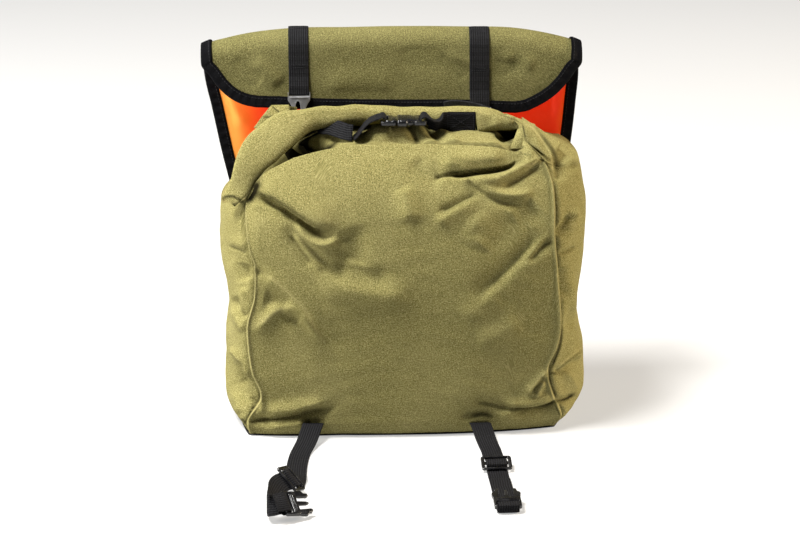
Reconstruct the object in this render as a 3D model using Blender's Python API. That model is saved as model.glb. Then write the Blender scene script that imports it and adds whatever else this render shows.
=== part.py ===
"""A bicycle front bag, standing on its base with the roll top buckled and the lid folded forward.

Metres, +Z up. The origin is on the floor under the middle of the base, -Y is the bag's front.
"""
from math import cos, pi, radians, sin

import bmesh
import bpy
import numpy as np
from mathutils import Matrix, Vector

# Driving sizes
GAP = 0.0003                # clearance between two sewn pieces
CLOTH = 0.0015              # coated canvas with its inner coating
BASE_THICKNESS = 0.002
BACK_Y = 0.084              # outer face of the flat back
WEBBING = 0.020             # width of every webbing strap
WEBBING_THICKNESS = 0.0015
LID_CENTRE_X = -0.006       # the lid leans a little to the left
LID_LOW_Z = 0.190           # seam of the lid on the back panel
LID_TOP_Z = 0.371
LID_FOLD_RADIUS = 0.018
LID_EDGE_Z = 0.298          # front edge of the flap
LID_EDGE_Y = 0.042
LID_CORNER_DROP = 0.017     # how far the ends of the fold hang below its middle
LID_STRAP_SPACING = 0.088   # from the lid's middle to each strap
TAPE_WIDTH = 0.0105         # binding tape, measured on one face
TAPE = 0.001
TAPE_EASE = 0.0012          # room between the tape and the sheets in its fold
LINING = 0.0012

# Where the panels turn round the body: 0 front left seam, 1 front right, 2 back right, 3 back left
FRONT_STEPS = 26
SIDE_STEPS = 8
BACK_STEPS = 6

# Rows of the body, each a share of the height of the upper seam
BODY_ROWS = (0.0, 0.025, 0.07, 0.125, 0.19, 0.26, 0.33, 0.40, 0.48,
             0.56, 0.64, 0.72, 0.80, 0.87, 0.93, 0.97, 1.0)
COLLAR_ROWS = (0.0, 0.12, 0.3, 0.5, 0.75, 1.0)

# Upper seam: place round the bag, height
SEAM_TOP = (
    (0.00, 0.233), (0.04, 0.250), (0.12, 0.264), (0.25, 0.275), (0.40, 0.283), (0.70, 0.283),
    (0.90, 0.276), (1.00, 0.266), (1.50, 0.246), (2.00, 0.258), (2.60, 0.258), (3.00, 0.238),
    (3.50, 0.227), (4.00, 0.233),
)
# Front seams: height, x of the left seam, x of the right seam
SEAM_X = (
    (0.002, -0.151, 0.150), (0.014, -0.153, 0.157), (0.042, -0.139, 0.149), (0.065, -0.147, 0.141),
    (0.087, -0.150, 0.147), (0.110, -0.151, 0.154), (0.145, -0.143, 0.151), (0.173, -0.142, 0.148),
    (0.200, -0.146, 0.146), (0.233, -0.148, 0.144), (0.266, -0.148, 0.136),
)
# Sides: height, x of the left side, x of the right side, both halfway between front and back
SIDE_X = (
    (0.002, -0.160, 0.166), (0.012, -0.168, 0.177), (0.055, -0.174, 0.184), (0.085, -0.173, 0.180),
    (0.108, -0.170, 0.175), (0.130, -0.172, 0.177), (0.165, -0.177, 0.182), (0.200, -0.177, 0.184),
    (0.225, -0.174, 0.182), (0.246, -0.168, 0.178), (0.266, -0.160, 0.170),
)
# Front: share of the seam's height, y at the two seams, y in the middle
FRONT_Y = (
    (0.00, -0.068, -0.083), (0.03, -0.073, -0.088), (0.08, -0.077, -0.090), (0.30, -0.080, -0.092),
    (0.50, -0.080, -0.092), (0.70, -0.077, -0.087), (0.84, -0.070, -0.077), (0.93, -0.060, -0.062),
    (1.00, -0.050, -0.044),
)
BACK_SEAM_X = (-0.158, 0.162)

# Folds of the front panel: x and z of one end, x and z of the other, half width, height
FRONT_FOLDS = (
    (-0.143, 0.248, -0.060, 0.210, 0.010, -0.0095),
    (-0.112, 0.216, -0.058, 0.192, 0.010, 0.0045),
    (-0.125, 0.204, -0.083, 0.176, 0.010, -0.0045),
    (-0.134, 0.178, -0.082, 0.118, 0.011, 0.0055),
    (-0.138, 0.105, -0.096, 0.132, 0.011, 0.0050),
    (-0.085, 0.188, -0.008, 0.154, 0.012, 0.0040),
    (0.026, 0.254, 0.112, 0.266, 0.010, -0.0105),
    (0.030, 0.226, 0.082, 0.244, 0.010, 0.0050),
    (0.132, 0.208, 0.064, 0.138, 0.010, -0.0050),
    (0.141, 0.072, 0.112, 0.044, 0.010, 0.0050),
    (-0.152, 0.020, -0.056, 0.040, 0.009, -0.0075),
    (0.150, 0.036, 0.066, 0.042, 0.010, -0.0085),
    (0.142, 0.238, 0.114, 0.222, 0.010, -0.0060),
)

# Rolled collar: x, y, z of its middle, half its height, half its depth
ROLL = (
    (-0.1580, -0.049, 0.2410, 0.010, 0.0070),
    (-0.1455, -0.041, 0.2640, 0.015, 0.0100),
    (-0.1300, -0.031, 0.2810, 0.019, 0.0120),
    (-0.1120, -0.022, 0.2950, 0.020, 0.0130),
    (-0.0920, -0.013, 0.3020, 0.015, 0.0130),
    (-0.0680, -0.008, 0.3030, 0.011, 0.0130),
    (-0.0390, -0.004, 0.3025, 0.010, 0.0125),
    (0.0000, -0.002, 0.3000, 0.010, 0.0120),
    (0.0390, -0.002, 0.2995, 0.010, 0.0120),
    (0.0770, -0.004, 0.3000, 0.010, 0.0120),
    (0.1060, -0.009, 0.2960, 0.008, 0.0100),
)
ROLL_SIDES = 12
# Where the collar goes up into the roll: x of the left and right ends, half the slot's width
SLOT_X = (-0.098, 0.119)
SLOT_LEFT_DIP = 0.006
SLOT_HALF = 0.005
SLOT_RIGHT_Z = 0.291
# How the collar rises from the seam to the slot: place round the bag, exponent (low = bulging)
COLLAR_RISE = (
    (0.0, 2.2), (0.2, 1.5), (0.4, 1.0), (0.8, 0.8), (1.0, 0.55), (1.5, 0.40), (1.9, 0.75), (2.2, 1.35),
    (2.6, 1.2), (3.0, 1.0), (3.5, 1.9), (4.0, 2.2),
)

# Flap outline below the fold: height, half its width
FLAP_HALF_WIDTH = (
    (0.298, 0.124), (0.2995, 0.131), (0.303, 0.140), (0.307, 0.148), (0.314, 0.158), (0.325, 0.168),
    (0.343, 0.179), (0.357, 0.1865), (0.371, 0.1865),
)
# Back part of the lid: height, half its width
LID_HALF_WIDTH = (
    (0.190, 0.168), (0.240, 0.176), (0.300, 0.182), (0.350, 0.1865), (0.371, 0.1865),
)

# Webbing through a slider, in the slider's own axes: y along it, z through it
SLIDER_PATH = (
    (0.0092, -0.0023), (0.0074, -0.0024), (0.0052, -0.0017), (0.0042, 0.0000), (0.0032, 0.0015),
    (0.0013, 0.0024), (-0.0013, 0.0024), (-0.0032, 0.0015), (-0.0042, 0.0000), (-0.0052, -0.0017),
    (-0.0074, -0.0024), (-0.0092, -0.0023),
)
# Webbing round the bar of a loose buckle, in the buckle's own axes: pulled straight, or folded back
LOOP_STRAIGHT = (
    (-0.0190, -0.0022), (-0.0152, -0.0034), (-0.0109, -0.0034), (-0.0092, -0.0014), (-0.0092, 0.0014),
    (-0.0109, 0.0034), (-0.0152, 0.0034), (-0.0190, 0.0022), (-0.0230, 0.0018),
)
LOOP_FOLDED = (
    (-0.0160, -0.0005), (-0.0155, 0.0026), (-0.0133, 0.0036), (-0.0106, 0.0033), (-0.0093, 0.0010),
    (-0.0092, -0.0018),
)
# Straps under the base, up to the slider, on to the buckle, and back from it:
# x, y, z of the middle, and the direction across (x, y, z)
STRAP_LEFT_TO_SLIDER = (
    (-0.0900, -0.0852, 0.0085, 1.0, 0.00, 0.00),
    (-0.0903, -0.0885, 0.0118, 1.0, 0.00, 0.00),
    (-0.0920, -0.0970, 0.0105, 1.0, -0.05, 0.00),
    (-0.0955, -0.1100, 0.0045, 1.0, -0.10, 0.00),
    (-0.1000, -0.1280, 0.0014, 1.0, -0.10, 0.00),
    (-0.1025, -0.1500, 0.0014, 1.0, -0.10, 0.00),
    (-0.1035, -0.1720, 0.0018, 1.0, -0.12, 0.00),
    (-0.1032, -0.1880, 0.0062, 0.9, -0.28, -0.20),
    (-0.1024, -0.2011, 0.0080, 0.6, -0.55, -0.58),
)
STRAP_LEFT_TO_BUCKLE = (
    (-0.1178, -0.2260, 0.0150, 0.60, -0.55, -0.58),
    (-0.1215, -0.2360, 0.0138, 0.35, -0.60, -0.72),
    (-0.1255, -0.2480, 0.0130, 0.10, -0.40, -0.90),
    (-0.1278, -0.2590, 0.0128, 0.00, -0.30, -0.95),
    (-0.1280, -0.2675, 0.0135, 0.00, -0.45, -0.90),
    (-0.1258, -0.2726, 0.0153, 0.15, -0.65, -0.75),
)
STRAP_RIGHT_TO_SLIDER = (
    (0.0800, -0.0864, 0.0095, 1.0, 0.00, 0.00),
    (0.0803, -0.0900, 0.0122, 1.0, 0.00, 0.00),
    (0.0810, -0.0985, 0.0100, 1.0, 0.02, 0.00),
    (0.0820, -0.1100, 0.0035, 1.0, 0.03, 0.00),
    (0.0832, -0.1250, 0.0010, 1.0, 0.03, 0.00),
    (0.0840, -0.1400, 0.0014, 1.0, 0.04, 0.00),
    (0.0846, -0.1500, 0.0044, 1.0, 0.04, 0.00),
)
STRAP_RIGHT_TO_BUCKLE = (
    (0.0858, -0.1840, 0.0010, 1.0, 0.04, 0.00),
    (0.0866, -0.2050, 0.0010, 1.0, 0.04, 0.00),
    (0.0877, -0.2350, 0.0010, 1.0, 0.04, 0.00),
    (0.0886, -0.2585, 0.0010, 1.0, 0.04, 0.00),
    (0.0888, -0.2650, 0.0020, 1.0, 0.04, 0.00),
)
STRAP_RIGHT_BACK = (
    (0.0884, -0.2540, 0.0034, 1.0, 0.04, 0.00),
    (0.0881, -0.2460, 0.0029, 1.0, 0.04, 0.00),
    (0.0875, -0.2300, 0.0028, 1.0, 0.04, 0.00),
    (0.0862, -0.1950, 0.0028, 1.0, 0.04, 0.00),
)
# Tabs of the collar, from the middle buckle outwards
TAB_RIGHT = (
    (0.0188, -0.0280, 0.3010, 0.0, 1.0, 0.00),
    (0.0188, -0.0280, 0.3050, 0.0, 1.0, 0.00),
    (0.0198, -0.0280, 0.3079, 0.0, 1.0, 0.00),
    (0.0222, -0.0280, 0.3090, 0.0, 1.0, 0.00),
    (0.0250, -0.0280, 0.3082, 0.0, 1.0, 0.00),
    (0.0295, -0.0265, 0.3045, 0.0, 1.0, -0.25),
    (0.0340, -0.0225, 0.3010, 0.0, 0.6, -0.75),
    (0.0390, -0.0180, 0.2990, 0.0, 0.2, -1.00),
    (0.0460, -0.0164, 0.2985, 0.0, 0.0, -1.00),
    (0.0580, -0.0166, 0.2985, 0.0, 0.0, -1.00),
    (0.0720, -0.0174, 0.2985, 0.0, 0.0, -1.00),
)
TAB_LEFT = (
    (-0.0143, -0.0280, 0.3010, 0.0, 1.0, 0.00),
    (-0.0143, -0.0280, 0.3050, 0.0, 1.0, 0.00),
    (-0.0153, -0.0280, 0.3079, 0.0, 1.0, 0.00),
    (-0.0177, -0.0280, 0.3090, 0.0, 1.0, 0.00),
    (-0.0205, -0.0280, 0.3080, 0.0, 1.0, 0.00),
    (-0.0290, -0.0276, 0.3040, 0.0, 1.0, 0.25),
    (-0.0400, -0.0273, 0.3010, 0.0, 0.85, 0.50),
    (-0.0520, -0.0270, 0.2985, 0.0, 0.65, 0.75),
    (-0.0640, -0.0284, 0.2965, 0.0, 0.50, 0.85),
    (-0.0740, -0.0290, 0.2950, 0.0, 0.50, 0.85),
)

# Sliders and buckles for 20 mm webbing
SLIDER_SIZE = (0.029, 0.018, 0.0022)
SLIDER_BAR = 0.003
SLIDER_SLOT = 0.0053
BUCKLE_HALF_WIDTH = 0.0125
BUCKLE_LENGTH = 0.029
BUCKLE_BAR = 0.0032
BUCKLE_SLOT = 0.0048
BUCKLE_THICKNESS = 0.004
PRONG_LENGTH = 0.0165
SOCKET_THICKNESS = 0.005
MIDDLE_BUCKLE_THICKNESS = 0.0075


def clear_scene():
    for old in list(bpy.data.objects):
        bpy.data.objects.remove(old, do_unlink=True)


def collection(name):
    group = bpy.data.collections.new(name)
    bpy.context.scene.collection.children.link(group)
    return group


def material(name, colour, roughness, metallic=0.0):
    finish = bpy.data.materials.new(name)
    finish.use_nodes = True
    shader = finish.node_tree.nodes["Principled BSDF"]
    shader.inputs["Base Color"].default_value = (*colour, 1.0)
    shader.inputs["Roughness"].default_value = roughness
    shader.inputs["Metallic"].default_value = metallic
    finish.diffuse_color = (*colour, 1.0)
    return finish


def column(table, index, at):
    """Reads one column of a table at a place between its rows."""
    return np.interp(at, [row[0] for row in table], [row[index] for row in table])


def unit(vectors):
    return vectors / np.linalg.norm(vectors, axis=-1, keepdims=True)


def add_mesh(name, points, faces, finish, group):
    mesh = bpy.data.meshes.new(name)
    mesh.from_pydata([tuple(point) for point in points], [], faces)
    mesh.materials.append(finish)
    tidy = bmesh.new()
    tidy.from_mesh(mesh)
    bmesh.ops.recalc_face_normals(tidy, faces=tidy.faces)
    tidy.to_mesh(mesh)
    tidy.free()
    mesh.shade_smooth()
    mesh.set_sharp_from_angle(angle=radians(40))
    piece = bpy.data.objects.new(name, mesh)
    group.objects.link(piece)
    return piece


def sheet_solid(name, outer, inner, finish, group, ring=False):
    """A cloth wall between two grids of points; a ring has no first and last column."""
    rows, columns = outer.shape[:2]
    size = rows * columns
    last = columns if ring else columns - 1
    faces = []
    for r in range(rows - 1):
        for c in range(last):
            a, b = r * columns + c, r * columns + (c + 1) % columns
            faces.append((a, b, b + columns, a + columns))
            faces.append((a + size, a + size + columns, b + size + columns, b + size))
    for r in (0, rows - 1):
        for c in range(last):
            a, b = r * columns + c, r * columns + (c + 1) % columns
            faces.append((a, a + size, b + size, b))
    if not ring:
        for c in (0, columns - 1):
            for r in range(rows - 1):
                a, b = r * columns + c, (r + 1) * columns + c
                faces.append((a, b, b + size, a + size))
    points = np.concatenate([outer.reshape(-1, 3), inner.reshape(-1, 3)])
    return add_mesh(name, points, faces, finish, group)


def swept_solid(name, sections, finish, group):
    """A loft through closed sections, capped at both ends."""
    count, sides = sections.shape[:2]
    faces = []
    for r in range(count - 1):
        for c in range(sides):
            a, b = r * sides + c, r * sides + (c + 1) % sides
            faces.append((a, b, b + sides, a + sides))
    faces.append(tuple(range(sides)))
    faces.append(tuple(range((count - 1) * sides, count * sides)))
    return add_mesh(name, sections.reshape(-1, 3), faces, finish, group)


def smooth_rows(rows, per_span):
    """Catmull-Rom curve through the rows of a table, with per_span points in each span."""
    rows = np.asarray(rows, float)
    padded = np.vstack([2 * rows[0] - rows[1], rows, 2 * rows[-1] - rows[-2]])
    out = []
    for i in range(len(rows) - 1):
        before, start, end, after = padded[i:i + 4]
        for t in np.arange(per_span) / per_span:
            out.append(0.5 * (2 * start + (end - before) * t
                              + (2 * before - 5 * start + 4 * end - after) * t ** 2
                              + (3 * start - before - 3 * end + after) * t ** 3))
    out.append(rows[-1])
    return np.array(out)


def fold_relief(x, z):
    """Height of the folds over the smooth front: a bell across each fold, fading to its ends."""
    total = np.zeros_like(x)
    for x0, z0, x1, z1, half_width, height in FRONT_FOLDS:
        run = np.array([x1 - x0, z1 - z0])
        length = np.hypot(*run)
        along = ((x - x0) * run[0] + (z - z0) * run[1]) / length ** 2
        aside = ((x - x0) * run[1] - (z - z0) * run[0]) / length
        fade = np.clip(1 - np.abs(2 * along - 1) ** 4 / 1.6, 0, 1)
        fade *= np.abs(2 * along - 1) < 1.12
        total += height * fade * np.exp(-(aside / half_width) ** 2)
    return total


def ring_places():
    front = np.linspace(0, 1, FRONT_STEPS + 1)[:-1]
    right = np.linspace(1, 2, SIDE_STEPS + 1)[:-1]
    back = np.linspace(2, 3, BACK_STEPS + 1)[:-1]
    left = np.linspace(3, 4, SIDE_STEPS + 1)[:-1]
    return np.concatenate([front, right, back, left])


def body_ring(place, share):
    """One row of the body: a closed ring at a share of the height of the upper seam."""
    low = BASE_THICKNESS + GAP
    z = low + (column(SEAM_TOP, 1, place) - low) * share
    across = place % 1.0
    crown = 1 - np.abs(2 * across - 1) ** 2.6
    seam_y = column(FRONT_Y, 1, share)
    middle_y = column(FRONT_Y, 2, share)
    left_x, right_x = column(SEAM_X, 1, z), column(SEAM_X, 2, z)
    points = np.zeros((len(place), 3))
    points[:, 2] = z

    front = place < 1
    x = left_x + (right_x - left_x) * across
    y = seam_y + (middle_y - seam_y) * crown
    edge_calm = np.clip(np.minimum(across, 1 - across) * 12, 0, 1)
    y = y - fold_relief(x, z) * edge_calm
    points[front, 0], points[front, 1] = x[front], y[front]

    sides = ((1, right_x, 2, BACK_SEAM_X[1]), (3, left_x, 1, BACK_SEAM_X[0]))
    for side, seam_x, table_index, back_x in sides:
        here = (place >= side) & (place < side + 1)
        toward_back = across if side == 1 else 1 - across
        straight = seam_x + (back_x - seam_x) * toward_back
        halfway = (seam_x + back_x) / 2
        bulge = column(SIDE_X, table_index, z) - halfway
        points[here, 0] = (straight + bulge * crown)[here]
        points[here, 1] = (seam_y + (BACK_Y - seam_y) * toward_back)[here]

    back = (place >= 2) & (place < 3)
    points[back, 0] = (BACK_SEAM_X[1] + (BACK_SEAM_X[0] - BACK_SEAM_X[1]) * across)[back]
    points[back, 1] = BACK_Y
    return points


def slot_ring(place):
    """The narrow loop under the roll where the collar ends."""
    across = place % 1.0
    left, right = SLOT_X
    x = np.select([place < 1, place < 2, place < 3], [left + (right - left) * across, right + 0 * across,
                  right + (left - right) * across], left)
    lean = np.select([place < 1, place < 2, place < 3], [-1 + 0 * across, 2 * across - 1, 1 + 0 * across],
                     1 - 2 * across)
    y = column(ROLL, 1, x) + lean * SLOT_HALF
    slope = (column(ROLL, 2, x + 0.004) - column(ROLL, 2, x - 0.004)) / 0.008
    z = column(ROLL, 2, x) - column(ROLL, 3, x) * np.hypot(1, slope) - 3 * GAP
    z = z - SLOT_LEFT_DIP * np.clip((-0.068 - x) / 0.03, 0, 1)
    tucked = np.clip((x - ROLL[-1][0] - 0.004) / 0.008, 0, 1)
    z = z + (SLOT_RIGHT_Z - z) * tucked
    return np.stack([x, y, z], -1)


def bag_surface():
    """Outer and inner grids of the whole bag, from the base up to the roll."""
    place = ring_places()
    rows = [body_ring(place, share) for share in BODY_ROWS]
    seam, slot = rows[-1], slot_ring(place)
    rise = column(COLLAR_RISE, 1, place)
    for share in COLLAR_ROWS[1:]:
        row = seam + (slot - seam) * share
        row[:, 2] = seam[:, 2] + (slot[:, 2] - seam[:, 2]) * share ** rise
        rows.append(row)
    outer = np.array(rows)
    around = np.roll(outer, -1, 1) - np.roll(outer, 1, 1)
    upward = np.gradient(outer, axis=0)
    normal = unit(np.cross(around, upward))
    inner = outer - normal * CLOTH
    inner[0, :, 2] = outer[0, :, 2]
    return place, outer, inner


def pull_edge(grid, edge, inward):
    """Moves an edge row or column of a grid inwards by half the clearance."""
    step = unit(grid[inward] - grid[edge])
    grid[edge] = grid[edge] + step * GAP / 2


def panel(name, outer, inner, columns, finish, group):
    """One panel of the body: some columns of the rows below the upper seam."""
    walls = []
    for grid in (outer, inner):
        part = grid[:len(BODY_ROWS)][:, columns].copy()
        pull_edge(part, (slice(None), 0), (slice(None), 1))
        pull_edge(part, (slice(None), -1), (slice(None), -2))
        pull_edge(part, -1, -2)
        walls.append(part)
    sheet_solid(name, walls[0], walls[1], finish, group)


def body(finishes, group):
    place, outer, inner = bag_surface()
    count = len(place)
    corners = (0, FRONT_STEPS, FRONT_STEPS + SIDE_STEPS, FRONT_STEPS + SIDE_STEPS + BACK_STEPS, count)
    names = ("front_panel", "side_panel_right", "back_panel", "side_panel_left")
    for name, start, end in zip(names, corners[:-1], corners[1:]):
        panel(name, outer, inner, np.arange(start, end + 1) % count, finishes["canvas"], group)

    walls = []
    for grid in (outer, inner):
        part = grid[len(BODY_ROWS) - 1:].copy()
        pull_edge(part, 0, 1)
        walls.append(part)
    sheet_solid("collar", walls[0], walls[1], finishes["canvas"], group, ring=True)

    sole = np.array([outer[0] * (1, 1, 0), outer[0] * (1, 1, 0) + (0, 0, BASE_THICKNESS)])
    swept_solid("base_panel", sole, finishes["base"], group)


def roll(finishes, group):
    rows = smooth_rows(ROLL, 2)
    middle = rows[:, :3]
    along = unit(np.gradient(middle, axis=0))
    deep = unit(np.cross(along, (0, 0, 1.0)))
    high = unit(np.cross(deep, along))
    turn = np.linspace(0, 2 * pi, ROLL_SIDES, endpoint=False)
    sections = (middle[:, None] + high[:, None] * (rows[:, 3, None] * np.sin(turn))[..., None]
                + deep[:, None] * (rows[:, 4, None] * np.cos(turn))[..., None])
    swept_solid("rolled_collar", sections, finishes["canvas"], group)


def lid_profile(t):
    """Middle line of the lid seen from the side, at a distance t up from its lower seam."""
    back_y = BACK_Y + GAP + TAPE + TAPE_EASE + LINING + GAP / 2
    centre = np.array([back_y - LID_FOLD_RADIUS, LID_TOP_Z - LID_FOLD_RADIUS])
    rise = centre[1] - LID_LOW_Z
    reach = np.array([LID_EDGE_Y, LID_EDGE_Z]) - centre
    distance = np.hypot(*reach)
    tangent = np.arctan2(reach[1], reach[0]) % (2 * pi) - np.arccos(LID_FOLD_RADIUS / distance)
    start = centre + LID_FOLD_RADIUS * np.array([cos(tangent), sin(tangent)])
    end = centre + reach
    flap = np.hypot(*(end - start))
    bend = LID_FOLD_RADIUS * tangent
    t = np.asarray(t, float)
    angle = np.clip((t - rise) / LID_FOLD_RADIUS, 0, tangent)
    down = np.clip((t - rise - bend) / flap, 0, 1)
    y = centre[0] + LID_FOLD_RADIUS * np.cos(angle) + (end - start)[0] * down
    z = centre[1] + LID_FOLD_RADIUS * np.sin(angle) + (end - start)[1] * down - np.clip(rise - t, 0, None)
    return y, z, rise, bend, flap


LID_LENGTH = sum(lid_profile(0.0)[2:])
LID_RISE = lid_profile(0.0)[2]
LID_BEND = lid_profile(0.0)[3]


def lid_point(x, t):
    """A point of the lid's middle surface; the ends of the fold hang below its middle."""
    y, z = lid_profile(t)[:2]
    side = np.clip(np.abs(x - LID_CENTRE_X) / 0.1865, 0, 1.1)
    drop = LID_CORNER_DROP * side ** 4.3
    z = z - drop * np.clip((z - LID_LOW_Z) / (LID_TOP_Z - LID_LOW_Z), 0, 1)
    return np.stack([x + 0 * t, y + 0 * x, z], -1)


def lid_half_width(t):
    z = lid_profile(t)[1]
    on_flap = t > LID_RISE + LID_BEND / 2
    return np.where(on_flap, column(FLAP_HALF_WIDTH, 1, z), column(LID_HALF_WIDTH, 1, z))


def lid_normal(x, t):
    step = 0.0005
    over = lid_point(x, t + step) - lid_point(x, t - step)
    side = lid_point(x + step, t) - lid_point(x - step, t)
    return unit(np.cross(side, over)) * -1


def lid_rows():
    """Distances along the lid where its rows lie: close together round the fold and at the edge."""
    back = np.linspace(0.0, LID_RISE, 6)[:-1]
    fold = LID_RISE + LID_BEND * np.linspace(0, 1, 8)[:-1]
    flap_start = LID_RISE + LID_BEND
    flap = flap_start + (LID_LENGTH - flap_start) * np.sin(np.linspace(0, pi / 2, 9))
    return np.concatenate([back, fold, flap])


def lid_columns(half):
    """x of each column across the lid: even, with one at the inner edge of the tape on each side."""
    even = np.linspace(-1, 1, 13)[1:-1] * (half - TAPE_WIDTH - 0.002)
    near = half - TAPE_WIDTH - 0.001
    return np.concatenate([-half, -near, even, near, half], -1)


def lid_sheets(finishes, group):
    t = lid_rows()[:, None]
    x = LID_CENTRE_X + lid_columns(lid_half_width(t))
    t = np.minimum(t + 0 * x, LID_LENGTH - 1e-6)
    middle, normal = lid_point(x, t), lid_normal(x, t)
    layers = (("lid_outer", "canvas", GAP / 2, GAP / 2 + CLOTH),
              ("lid_lining", "lining", -GAP / 2 - LINING, -GAP / 2))
    for name, finish, low, high in layers:
        sheet_solid(name, middle + normal * high, middle + normal * low, finishes[finish], group)


def lid_edge():
    """The lid's free edge as x and t: up the left side, along the flap, down the right side."""
    t = lid_rows()[:-1]
    half = lid_half_width(t)
    across = lid_columns(lid_half_width(np.array([LID_LENGTH])))
    x = np.concatenate([-half, across, half[::-1]])
    t = np.concatenate([t, np.full(len(across), LID_LENGTH - 1e-6), t[::-1]])
    return LID_CENTRE_X + x, t


def lid_binding(finishes, group):
    """Folded tape: a U carried along the lid's edge, with the two sheets in its mouth."""
    x, t = lid_edge()
    edge, normal = lid_point(x, t), lid_normal(x, t)
    along = unit(np.gradient(edge, axis=0))
    inward = unit(np.cross(normal, along))
    top = GAP / 2 + CLOTH + TAPE_EASE
    bottom = -(GAP / 2 + LINING + TAPE_EASE)
    back = -GAP - TAPE
    section = ((back, bottom - TAPE), (TAPE_WIDTH, bottom - TAPE), (TAPE_WIDTH, bottom), (-GAP, bottom),
               (-GAP, top), (TAPE_WIDTH, top), (TAPE_WIDTH, top + TAPE), (back, top + TAPE))
    points = [edge + inward * b + normal * n for b, n in section]
    swept_solid("lid_binding", np.stack(points, 1), finishes["webbing"], group)


def ribbon(name, rows, finish, group, per_span=2, width=WEBBING, thick=WEBBING_THICKNESS):
    """Webbing along a curve; each row gives the middle and the direction across."""
    rows = smooth_rows(rows, per_span)
    middle = rows[:, :3]
    along = unit(np.gradient(middle, axis=0))
    across = rows[:, 3:6] - along * np.sum(rows[:, 3:6] * along, -1, keepdims=True)
    across = unit(across)
    up = np.cross(across, along)
    corners = ((-1, -1), (1, -1), (1, 1), (-1, 1))
    points = [middle + across * (a * width / 2) + up * (b * thick / 2) for a, b in corners]
    return swept_solid(name, np.stack(points, 1), finish, group)


def plate(name, outlines, thick, finish, group, place=Matrix.Identity(4)):
    """A flat moulded plate: the first outline is its edge, the others are holes."""
    curve = bpy.data.curves.new(name + "_outline", "CURVE")
    curve.dimensions = "2D"
    curve.fill_mode = "BOTH"
    curve.extrude = thick / 2
    for outline in outlines:
        spline = curve.splines.new("POLY")
        spline.points.add(len(outline) - 1)
        for point, (x, y) in zip(spline.points, outline):
            point.co = (x, y, 0, 1)
        spline.use_cyclic_u = True
    source = bpy.data.objects.new(name + "_outline", curve)
    group.objects.link(source)
    bpy.context.view_layer.update()
    mesh = bpy.data.meshes.new_from_object(source.evaluated_get(bpy.context.evaluated_depsgraph_get()))
    bpy.data.objects.remove(source, do_unlink=True)
    tidy = bmesh.new()
    tidy.from_mesh(mesh)
    bmesh.ops.remove_doubles(tidy, verts=tidy.verts, dist=0.00002)
    bmesh.ops.recalc_face_normals(tidy, faces=tidy.faces)
    tidy.to_mesh(mesh)
    tidy.free()
    mesh.materials.clear()
    mesh.materials.append(finish)
    mesh.transform(place)
    piece = bpy.data.objects.new(name, mesh)
    group.objects.link(piece)
    return piece


def rectangle(width, height, centre=(0, 0), corner=0.0):
    """Outline of a rectangle whose corners are cut by the given amount."""
    w, h, k = width / 2, height / 2, corner
    points = ((-w + k, -h), (w - k, -h), (w, -h + k), (w, h - k),
              (w - k, h), (-w + k, h), (-w, h - k), (-w, -h + k))
    if not corner:
        points = ((-w, -h), (w, -h), (w, h), (-w, h))
    return [(x + centre[0], y + centre[1]) for x, y in points]


def slider(name, finish, group, place):
    """Three bars in a frame: the webbing goes up one slot and down the other."""
    width, length, thick = SLIDER_SIZE
    slot_y = (SLIDER_BAR + SLIDER_SLOT) / 2
    holes = [rectangle(width - 0.0065, SLIDER_SLOT, (0, side * slot_y)) for side in (-1, 1)]
    plate(name, [rectangle(width, length, corner=0.002)] + holes, thick, finish, group, place)


def prong_buckle(name, finish, group, place):
    """Loose half of a side-release buckle: a bar, a body and three prongs along +Y."""
    half, back, tip = BUCKLE_HALF_WIDTH, -BUCKLE_LENGTH / 2, BUCKLE_LENGTH / 2
    root = tip - PRONG_LENGTH
    right = [(half - 0.0015, back), (half, back + 0.0015), (half, root + 0.002),
             (half + 0.0010, root + 0.0085), (half - 0.0022, root + 0.0105), (half - 0.0030, tip - 0.001),
             (half - 0.0060, tip - 0.001), (half - 0.0052, root + 0.008), (half - 0.0060, root),
             (0.0020, root), (0.0018, tip - 0.004), (0.0, tip - 0.002)]
    left = [(-x, y) for x, y in right[-2::-1]]
    hole = rectangle(0.0215, BUCKLE_SLOT, (0, back + BUCKLE_BAR + BUCKLE_SLOT / 2))
    plate(name, [right + left, hole], BUCKLE_THICKNESS, finish, group, place)


def socket_buckle(name, finish, group, place):
    """Other half, on the lid: ears beside the end of the webbing, a narrow throat, an oval window."""
    right = [(0.0066, -0.016), (0.0066, -0.001), (0.0100, 0.002), (0.0123, 0.006), (0.0123, 0.018),
             (0.0104, 0.018), (0.0104, 0.0145)]
    left = [(-x, y) for x, y in right[::-1]]
    turn = np.linspace(0, 2 * pi, 12, endpoint=False)
    window = [(-0.0016 + 0.0020 * cos(a), -0.0030 + 0.0065 * sin(a)) for a in turn]
    plate(name, [right + left, window], SOCKET_THICKNESS, finish, group, place)


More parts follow.
